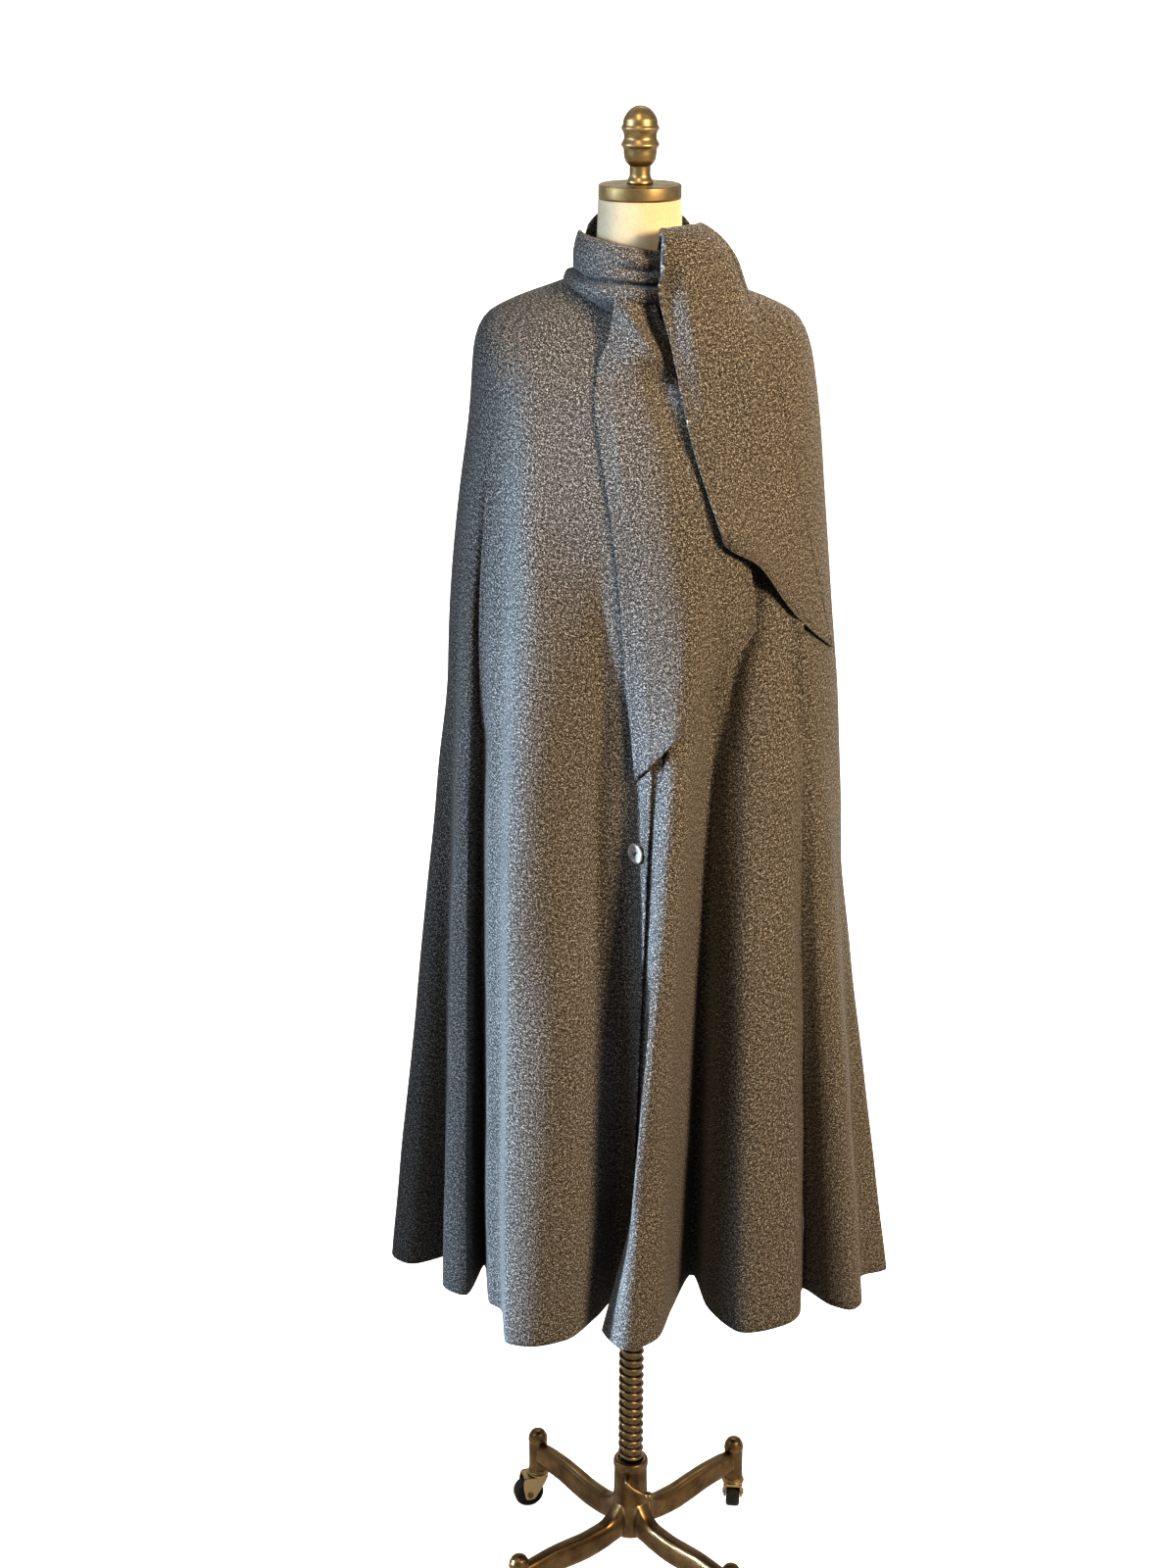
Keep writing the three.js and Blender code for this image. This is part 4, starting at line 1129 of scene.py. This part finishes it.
# runs a tree once and keeps its result as a plain mesh
def bakeTree(holder, tree, values):
    modifier = holder.modifiers.new(tree.name, "NODES")
    modifier.node_group = tree
    for item in tree.interface.items_tree:
        if item.name in values:
            modifier[item.identifier] = values[item.name]
    graph = bpy.context.evaluated_depsgraph_get()
    made = bpy.data.meshes.new_from_object(
        holder.evaluated_get(graph), preserve_all_data_layers=True, depsgraph=graph,
    )
    made.name = holder.name
    holder.modifiers.remove(modifier)
    holder.data = made
    made.shade_smooth()
    return holder


stitchTree = makeStitchTree()


def stitchPiece(name, paths, pitch=0.0042, length=0.0031, thickness=0.0007):
    edges, base = [], 0
    for path in paths:
        edges += [(base + k, base + k + 1) for k in range(len(path) - 1)]
        base += len(path)
    holder = linkMesh(name, np.concatenate(paths), edges, [])
    values = {"Pitch": pitch, "Length": length, "Thickness": thickness, "Material": threadMaterial}
    return bakeTree(holder, stitchTree, values)


# lines a given distance in from the start of each row, lifted a little off the cloth
def insetLine(rows, faces, inset, lift=0.1):
    line = []
    for row, face in zip(rows, faces):
        length = runLength(row)
        spots = row + lift * face
        line.append([np.interp(inset, length, spots[:, k]) for k in range(3)])
    return np.array(line)


def edgeLine(grid, side, inset, first=0.0, last=1.0):
    step = 1 if side == "start" else -1
    some = slice(int(first * (len(grid) - 1)), int(last * (len(grid) - 1)) + 1)
    return insetLine(grid[some, ::step], gridOut(grid)[some, ::step], inset)


def footLine(grid, inset):
    return insetLine(np.swapaxes(grid, 0, 1)[:, ::-1], np.swapaxes(gridOut(grid), 0, 1)[:, ::-1], inset)


scarfLines = []
for grid, first in ((sideGrid, 0.2), (centreGrid, 0.06)):
    for inset, _ in stitchSet["rows"]:
        scarfLines.append(edgeLine(grid, "start", inset, first))
        scarfLines.append(edgeLine(grid, "end", inset, first))
        scarfLines.append(footLine(grid, inset))
setPiece(stitchPiece("scarfTopstitch", scarfLines), "upper", "wool")
# grid, side, distance in, first and last share of the drop
capeLines = [
    ("frontRight", "end", 6.5, 0.02, 0.995),
    ("frontRight", "end", 9.5, 0.02, 0.995),
    ("frontLeft", "end", 5.0, 0.28, 0.42),
    ("frontLeft", "end", 8.0, 0.28, 0.42),
    ("frontRight", "start", 5.0, 0.12, 0.99),
]
capeLines = [edgeLine(capeGrids[name][0], *line) for name, *line in capeLines]
setPiece(stitchPiece("capeTopstitch", capeLines), "upper", "wool")
print("stitches done")

# button with a raised rim, two holes and thread through them
buttonSet = {
    "radius": 11.5, "sides": 64, "turn": 360.9, "height": 1061.0, "rise": 1.2,
    "hole": 1.25, "holeSides": 20, "apart": 2.7,
    "strands": 4, "strandGap": 0.45, "strandFoot": 1.6, "strandBow": 1.5,
}


def makeButton():
    r = buttonSet["radius"]
    rows = easedRows([
        (0.01, 0), (r * 0.8, 0), (r, 1.3), (r, 2.5),
        (r * 0.93, 3.4), (r * 0.8, 3.3), (r * 0.66, 2.5), (0.01, 2.35),
    ], 0.5)
    disc = linkPiece("hornButton", *lathePoints(rows, buttonSet["sides"]), hornMaterial)
    drills = []
    for side in (-1, 1):
        drill = [(buttonSet["hole"], -2.0), (buttonSet["hole"], 6.0)]
        drills.append(lathePoints(drill, buttonSet["holeSides"], side * buttonSet["apart"], 0.0))
    cutter = linkPiece("buttonDrill", *joinPoints(drills), hornMaterial)
    cut = disc.modifiers.new("holes", "BOOLEAN")
    cut.operation = "DIFFERENCE"
    cut.solver = "EXACT"
    cut.object = cutter
    graph = bpy.context.evaluated_depsgraph_get()
    made = bpy.data.meshes.new_from_object(disc.evaluated_get(graph))
    disc.modifiers.clear()
    disc.data = made
    bpy.data.objects.remove(cutter)
    return disc


# point and outward way on the dressed right front
def onFront(turn, ring):
    grid, turns, rings = capeGrids["frontRight"]
    j = np.interp(turn, turns, np.arange(len(turns)))
    i = np.interp(ring, rings, np.arange(len(rings)))
    return between(grid, i, j), unit(between(gridOut(grid), i, j))


buttonRing = float(ringOf(np.array([buttonSet["turn"]]), np.array([buttonSet["height"]]))[0])
buttonSpot, buttonOut = onFront(buttonSet["turn"], buttonRing)
buttonSpot = buttonSpot + buttonOut * buttonSet["rise"]
buttonTurn = Vector((0, 0, 1)).rotation_difference(Vector(buttonOut)).to_matrix().to_4x4()
buttonTurn.translation = Vector(buttonSpot) * mm


def seatMesh(piece, matrix):
    piece.data.transform(matrix)
    piece.data.update()
    return piece


button = smoothed(seatMesh(makeButton(), buttonTurn), 40.0)
setPiece(button, "upper", "button", "button")
threadPath = []
bow = np.linspace(0.0, math.pi, 9)
for k in range(buttonSet["strands"]):
    y = np.full_like(bow, (k - (buttonSet["strands"] - 1) / 2) * buttonSet["strandGap"])
    z = buttonSet["strandFoot"] + buttonSet["strandBow"] * np.sin(bow)
    threadPath.append(np.stack([-buttonSet["apart"] * np.cos(bow), y, z], 1))
thread = stitchPiece("buttonThread", threadPath, pitch=0.0011, length=0.0016, thickness=0.00055)
setPiece(seatMesh(thread, buttonTurn), "upper", "button")
print("button done")

# dress form
formSet = {"turns": 96, "rows": 150, "ease": 1.0, "frontClear": 5.0, "backClear": 1.5, "wrap": 0.046}
# height, side, front, back
torsoRows = [
    (1000, 144, 94, 104), (1020, 150, 98, 110), (1090, 154, 100, 113), (1180, 134, 93, 98),
    (1270, 118, 90, 86), (1350, 132, 104, 96), (1420, 150, 118, 106),
]
shoulderRows = [(5, 16), (4, 6), (3.4, 4), (3, 3.2), (2, 3.2), (1, 3.5), (0.45, 5), (0, 7)]  # ring, inset
neckRows = [(1682, 48.5), (1700, 46.5), (1722, 45), (1749, 44)]  # height, radius
turn = np.arange(formSet["turns"] + 1) * (360.0 / formSet["turns"])
s, c = np.sin(np.radians(turn)), np.cos(np.radians(turn))
sections = []
for height, side, front, back in torsoRows:
    sections.append(np.stack([side * s, -c * np.where(c > 0, front, back), np.full_like(s, height)], 1))
for ring, inset in shoulderRows:
    clear = np.where(c > 0, formSet["frontClear"], formSet["backClear"]) * c * c + inset + formSet["ease"]
    away = surfaceOut(bareCape, turn, np.full_like(turn, ring))
    sections.append(bareCape(turn, ring) - away * clear[:, None])
for height, radius in neckRows:
    sections.append(np.stack([radius * s, -radius * c, np.full_like(s, height)], 1))
sections = np.array(sections)
key = rowLength(sections)
stops = np.linspace(0.0, key[-1], formSet["rows"])
formGrid = tableCurve(key, sections)(stops)
form = linkPiece("dressForm", *loftPoints(formGrid[:, :-1]), coverMaterial, 50.0)
u = np.tile(np.radians(turn[:-1]) * formSet["wrap"], formSet["rows"])
v = np.repeat(stops * mm, formSet["turns"])
layCloth(form, np.stack([u, v], 1))
setPiece(form, "upper", "cover", "form_torso")

plateSet = {"radius": 44.0, "foot": 1749.3, "top": 1764.0}
r, low, high = plateSet["radius"], plateSet["foot"], plateSet["top"]
rows = [
    (0.01, low), (r - 1, low), (r, low + 1.5), (r, high - 1.2), (r - 1.4, high), (r - 6, high),
    (r - 6.8, high - 0.5), (r - 7.6, high), (0.01, high),
]
plate = linkPiece("neckPlate", *lathePoints(easedRows(rows, 0.5), 128), brassMaterial)
setPiece(addWear(plate), "upper", "brass", "neck_plate")
# rise, radius
finialRows = [
    (0.3, 14), (3, 14), (6, 12), (8.5, 11), (18.7, 11), (20, 13), (24, 16), (30, 17.3), (36, 17.5),
    (40, 20.5), (43, 19), (46.5, 17), (52, 17.5), (57.4, 20.5), (60, 18.4), (66, 17.8), (72, 14.5),
    (77, 9.5), (79.6, 4),
]
rows = [(r, plateSet["top"] + z) for z, r in [(0.3, 0.01), *finialRows, (79.6, 0.01)]]
finial = linkPiece("finial", *lathePoints(easedRows(rows, 2.0, 5), 72), brassMaterial, 50.0)
setPiece(addWear(finial), "upper", "brass", "finial")
print("form done")


# geometry nodes: wire coiled round the pole
def makeCoilTree():
    tree, given, end = newGroup(
        "GeometryNodeTree", "poleCoil",
        {"Geometry": "Geometry", "Radius": "Float", "Wire": "Float", "Pitch": "Float", "Foot": "Float",
         "Rise": "Float", "Material": "Material"},
        {"Geometry": "Geometry"},
    )
    spiral = addNode(tree, "GeometryNodeCurveSpiral", {
        "Resolution": 40,
        "Rotations": reckoned(tree, "DIVIDE", given["Rise"], given["Pitch"]),
        "Start Radius": given["Radius"],
        "End Radius": given["Radius"],
        "Height": given["Rise"],
    })
    lift = addNode(tree, "ShaderNodeCombineXYZ", {2: given["Foot"]}).outputs[0]
    place = addNode(tree, "GeometryNodeSetPosition", {"Geometry": spiral.outputs[0], "Offset": lift})
    ring = addNode(tree, "GeometryNodeCurvePrimitiveCircle", {"Resolution": 12, "Radius": given["Wire"]})
    wire = addNode(tree, "GeometryNodeCurveToMesh", {
        "Curve": place.outputs[0], "Profile Curve": ring.outputs[0], "Fill Caps": True,
    })
    both = addNode(tree, "GeometryNodeJoinGeometry", {0: wire.outputs[0]})
    fill(tree, both, {0: given["Geometry"]})
    return endTree(tree, given, end, both.outputs[0])


poleSet = {
    "core": 13.0, "wire": 2.9, "coil": 13.1, "foot": 64.0, "top": 999.7,
    "pitch": 12.0, "start": 3.0, "rise": 420.0,
}
core = easedRows([
    (0.01, poleSet["foot"]), (poleSet["core"], poleSet["foot"]),
    (poleSet["core"], poleSet["top"]), (0.01, poleSet["top"]),
], 0.8)
pole = linkPiece("pole", *lathePoints(core, 48), coilMaterial)
bakeTree(pole, makeCoilTree(), {
    "Radius": poleSet["coil"] * mm, "Wire": poleSet["wire"] * mm, "Pitch": poleSet["pitch"] * mm,
    "Foot": (poleSet["foot"] + poleSet["start"]) * mm, "Rise": poleSet["rise"] * mm, "Material": coilMaterial,
})
setPiece(addWear(pole), "upper", "brass", "pole")

# stand: hub with a bore, four cast legs with domed sockets, casters
hubSet = {"bore": 16.5, "foot": 64.0, "top": 172.0}
# radius, height
hubRows = [
    (hubSet["bore"], hubSet["foot"]), (24, hubSet["foot"]), (25.5, 68), (24.5, 92), (22.5, 108), (21.2, 126),
    (20.7, 160), (22.0, 162), (22.0, 169), (20.4, hubSet["top"]), (hubSet["bore"], hubSet["top"]),
]
hub = linkPiece("hub", *lathePoints(easedRows(hubRows, 1.2), 72, capped=False), bronzeMaterial)
setPiece(addWear(hub), "base", "brass", "hub")

legSet = {"turn": -4.0, "circle": 186.0, "steps": 40, "sides": 32, "across": 0.55, "up": 0.75, "taper": 0.12}
# out, top, foot, half width
legRows = np.array([
    (19.5, 114, 65, 13.5), (26, 107, 64.5, 13.5), (34, 98, 63, 12.5), (48, 92.5, 60, 11.5),
    (75, 92, 58, 11), (105, 95, 61, 11), (135, 97.5, 65, 10.5),
    (160, 97, 66, 10.5), (180, 95, 66, 9),
], float)
# radius, height
socketRows = [
    (0.01, 52), (13, 52), (13, 55), (12.2, 56), (12.2, 98), (13, 100), (12, 106), (9, 111.5), (4.5, 114.5),
    (0.01, 115.2),
]
collarRows = [(0.01, 46.6), (12, 46.6), (14.6, 47.4), (14.6, 49.4), (12.4, 50.2), (12.4, 51.7), (0.01, 51.7)]
casterSet = {
    "wheel": 20.0, "width": 18.0, "sides": 20, "trail": 14.0,
    "thick": 2.6, "inside": 9.7, "top": 46.3, "under": 43.4,
}
# name, turn of its leg, turn of its trail
casterRows = [
    ("rear_left", 135.0, 196.0), ("rear_right", 45.0, 84.0),
    ("front_left", 225.0, 250.0), ("front_right", 315.0, 330.0),
]
axle = casterSet["wheel"] * math.cos(math.pi / casterSet["sides"])


def spun(points, degrees, x=0.0, y=0.0):
    c, s = math.cos(math.radians(degrees)), math.sin(math.radians(degrees))
    p = np.asarray(points, float)
    return np.stack([x + p[:, 0] * c - p[:, 1] * s, y + p[:, 0] * s + p[:, 1] * c, p[:, 2]], 1)


def legPoints():
    out = np.linspace(legRows[0, 0], legRows[-1, 0], legSet["steps"])
    top, foot, half = (tableCurve(legRows[:, 0], legRows[:, k])(out) for k in (1, 2, 3))
    a = circle(legSet["sides"])
    across = np.sign(np.cos(a)) * np.abs(np.cos(a)) ** legSet["across"]
    up = np.sign(np.sin(a)) * np.abs(np.sin(a)) ** legSet["up"]
    taper = 1 - legSet["taper"] * up
    sections = [
        np.stack([np.full_like(a, x), across * h * taper, (t + f) / 2 + up * (t - f) / 2], 1)
        for x, t, f, h in zip(out, top, foot, half)
    ]
    return loftPoints(sections)


# plate outline drawn in along and up, given a thickness across
def slabPoints(outline, low, high):
    outline = np.asarray(outline, float)
    sections = [np.stack([outline[:, 0], np.full(len(outline), w), outline[:, 1]], 1) for w in (low, high)]
    return loftPoints(sections)


# a turned shape laid over, so that its axis runs across on the axle
def onAxle(points, side=1, off=0.0):
    return np.stack([casterSet["trail"] + points[:, 0], side * (off + points[:, 2]), axle + points[:, 1]], 1)


# along and up, then radius and rise of the axle's cap
cheekRows = [(5, 46.3), (21, 46.3), (24, 34), (20, 13), (8, 13), (-6, 36), (-11, 46.3), (5, 46.3)]
capRows = [(0.01, 0), (4.2, 0), (4.2, 1.2), (3.2, 1.9), (0.01, 2.0)]


def forkPoints():
    cheek = easedRows(cheekRows, 4.0, 5)[:-1]
    inside, wide = casterSet["inside"], casterSet["inside"] + casterSet["thick"]
    parts = []
    for side in (-1, 1):
        parts.append(slabPoints(cheek, side * inside, side * wide))
        some, these = lathePoints(easedRows(capRows, 0.4), 24)
        parts.append((onAxle(some, side, wide - 0.05), these))
    under, top = casterSet["under"], casterSet["top"]
    parts.append(slabPoints([(-11, under), (21, under), (21, top), (-11, top)], -inside - 0.2, inside + 0.2))
    return joinPoints(parts)


def wheelPoints():
    r, w = casterSet["wheel"], casterSet["width"] / 2
    # shares of the radius and of the half width
    rows = [
        (0.0005, 0.82), (0.30, 0.82), (0.34, 1), (0.40, 1), (0.44, 0.72), (0.70, 0.72),
        (0.75, 0.98), (0.9, 0.98), (0.985, 0.66),
    ]
    rows = [(r * a, -w * b) for a, b in rows] + [(r * a, w * b) for a, b in rows[::-1]]
    some, these = lathePoints(easedRows(rows, 1.2), 64)
    return onAxle(some), these


def outwards(piece):
    work = bmesh.new()
    work.from_mesh(piece.data)
    bmesh.ops.remove_doubles(work, verts=work.verts, dist=1e-6)
    bmesh.ops.recalc_face_normals(work, faces=work.faces)
    work.to_mesh(piece.data)
    work.free()
    return smoothed(piece)


for name, legAngle, trail in casterRows:
    angle = legAngle + legSet["turn"]
    x = legSet["circle"] * math.cos(math.radians(angle))
    y = legSet["circle"] * math.sin(math.radians(angle))
    label = "".join(word.capitalize() for word in name.split("_"))
    bar, barFaces = legPoints()
    parts = [(spun(bar, angle), barFaces), lathePoints(easedRows(socketRows, 1.0), 48, x, y)]
    leg = outwards(linkPiece("leg" + label, *joinPoints(parts), bronzeMaterial))
    setPiece(addWear(leg), "base", "brass", "leg_" + name)
    disc, discFaces = lathePoints(easedRows(collarRows, 0.5), 48, x, y)
    collar = linkPiece("casterCollar" + label, disc, discFaces, brassMaterial)
    setPiece(addWear(collar), "caster_" + name, "brass", "caster_collar_" + name)
    some, these = forkPoints()
    fork = outwards(linkPiece("casterFork" + label, spun(some, trail, x, y), these, bronzeMaterial))
    setPiece(addWear(fork), "caster_" + name, "brass", "caster_fork_" + name)
    some, these = wheelPoints()
    wheel = outwards(linkPiece("casterWheel" + label, spun(some, trail, x, y), these, tyreMaterial))
    setPiece(wheel, "wheel_" + name, "wheel", "caster_wheel_" + name)

# lock lever with a ball end: x, y, z, radius
leverRows = np.array([
    (-5, -21.3, 154, 3.4), (-5, -27, 154, 3.4), (-4, -31, 152, 3), (2, -33.5, 147, 2.7),
    (12, -34.6, 141.5, 2.5), (17, -35, 139.4, 2.8), (19, -35.1, 138.7, 5), (22.5, -35.2, 137.4, 6),
    (26, -35.3, 136.1, 4.6), (27.6, -35.4, 135.5, 2),
], float)


def rodPoints(rows, steps, sides):
    key = runLength(rows[:, :3])
    fine = tableCurve(key, rows)(np.linspace(0.0, key[-1], steps))
    spine, radius = fine[:, :3], fine[:, 3]
    ahead = unit(np.gradient(spine, axis=0))
    side = np.array([1.0, 0.0, 0.0])
    a = circle(sides)
    sections = []
    for p, way, r in zip(spine, ahead, radius):
        side = unit(side - way * side.dot(way))
        up = np.cross(way, side)
        sections.append(p + r * (np.cos(a)[:, None] * side + np.sin(a)[:, None] * up))
    return loftPoints(sections)


lever = outwards(linkPiece("lockLever", *rodPoints(leverRows, 60, 24), bronzeMaterial))
setPiece(addWear(lever), "lever", "brass", "lock_lever")
print("stand done")

# pale floor that turns up into a backdrop
stageSet = {
    "front": -6.0, "back": 3.2, "bend": 2.0, "rise": 5.0, "half": 7.0,
    "steps": 16, "tone": 0.86, "clouded": 0.985, "glow": 0.7, "bounce": 0.16, "mirrored": 0.5,
}


# one for the eye, less for mirrors, nothing for the light thrown on the cloth
def seenShare(tree):
    ray = addNode(tree, "ShaderNodeLightPath").outputs
    mirrored = reckoned(tree, "MULTIPLY", ray["Is Glossy Ray"], stageSet["mirrored"])
    return reckoned(tree, "MAXIMUM", ray["Is Camera Ray"], mirrored)


def makeStage():
    line = [(stageSet["front"], 0.0), (stageSet["back"], 0.0)]
    for k in range(1, stageSet["steps"] + 1):
        a = math.pi / 2 * k / stageSet["steps"]
        line.append((stageSet["back"] + stageSet["bend"] * math.sin(a), stageSet["bend"] * (1 - math.cos(a))))
    line.append((stageSet["back"] + stageSet["bend"], stageSet["rise"]))
    points = [(x, y, z) for y, z in line for x in (-stageSet["half"], stageSet["half"])]
    faces = [[2 * k, 2 * k + 1, 2 * k + 3, 2 * k + 2] for k in range(len(line) - 1)]
    mesh = bpy.data.meshes.new("floor")
    mesh.from_pydata(points, [], faces)
    mesh.shade_smooth()
    floor = bpy.data.objects.new("floor", mesh)
    scene.collection.objects.link(floor)
    material, tree, shader = newMaterial("paleFloor")
    cloud = noise(tree, objectPlace(tree), 1.5, 3.0)
    tone = blended(tree, cloud, grey(stageSet["tone"] * stageSet["clouded"]), grey(stageSet["tone"]))
    fill(tree, shader, {"Base Color": tone, "Roughness": 0.85})
    # the camera sees a bright sweep, while little of it is thrown back on the cloth
    glow = addNode(tree, "ShaderNodeEmission", {"Color": grey(1.0), "Strength": stageSet["glow"]})
    both = addNode(tree, "ShaderNodeAddShader", {0: shader.outputs[0], 1: glow.outputs[0]})
    dim = addNode(tree, "ShaderNodeBsdfDiffuse", {"Color": grey(stageSet["bounce"])})
    pick = addNode(tree, "ShaderNodeMixShader", {0: seenShare(tree), 1: dim.outputs[0], 2: both.outputs[0]})
    fill(tree, tree.nodes["Material Output"], {"Surface": pick.outputs[0]})
    mesh.materials.append(material)


makeStage()

# soft light: a narrow cool beam low from the left, cool fill, warm from the right and above
# name, place, aim, size, spread, power, colour
lightSet = [
    ("coolBeam", (-3.103, -0.903, 1.66), (-0.125, -0.537, 1.1), (0.9, 2.4), 4.0, 13.0, (0.66, 0.82, 1.0)),
    ("coolSoft", (-3.0, -1.4, 2.6), (0.0, 0.0, 1.1), (1.4, 1.4), 180.0, 34.0, (0.66, 0.82, 1.0)),
    ("warmSide", (2.15, -2.25, 2.6), (0.0, 0.0, 1.0), (0.8, 0.8), 180.0, 98.0, (1.0, 0.74, 0.46)),
    ("warmTop", (-0.5, -1.7, 4.2), (0.0, 0.0, 1.05), (0.5, 0.5), 180.0, 16.0, (1.0, 0.74, 0.46)),
    ("rearSoft", (2.0, 2.7, 3.0), (0.0, 0.0, 1.05), (1.0, 1.0), 180.0, 88.0, (1.0, 0.93, 0.84)),
    ("backdropWash", (0.0, 2.2, 4.4), (0.0, 5.2, 1.0), (3.0, 3.0), 180.0, 60.0, (1.0, 1.0, 1.0)),
]
for name, place, aim, size, spread, power, colour in lightSet:
    data = bpy.data.lights.new(name, "AREA")
    data.shape = "RECTANGLE"
    data.size, data.size_y = size
    data.spread = math.radians(spread)
    data.energy = power
    data.color = colour
    lamp = bpy.data.objects.new(name, data)
    lamp.location = place
    lamp.rotation_mode = "QUATERNION"
    lamp.rotation_quaternion = (Vector(aim) - Vector(place)).to_track_quat("-Z", "Y")
    lamp.visible_glossy = name != "rearSoft"  # it would whiten the plate's top
    scene.collection.objects.link(lamp)

# dim all round for the cloth, bright for the eye and for what the metal mirrors
worldSet = {"colour": (0.95, 0.97, 1.0, 1.0), "dim": 0.02, "bright": 0.8}
world = bpy.data.worlds.new("studio")
world.use_nodes = True
sky = world.node_tree.nodes["Background"]
level = ranged(world.node_tree, seenShare(world.node_tree), 0.0, 1.0, worldSet["dim"], worldSet["bright"])
fill(world.node_tree, sky, {"Color": worldSet["colour"], "Strength": level})
scene.world = world
scene.view_settings.view_transform = "Standard"
scene.view_settings.look = "High Contrast"
print("stage and light ready")
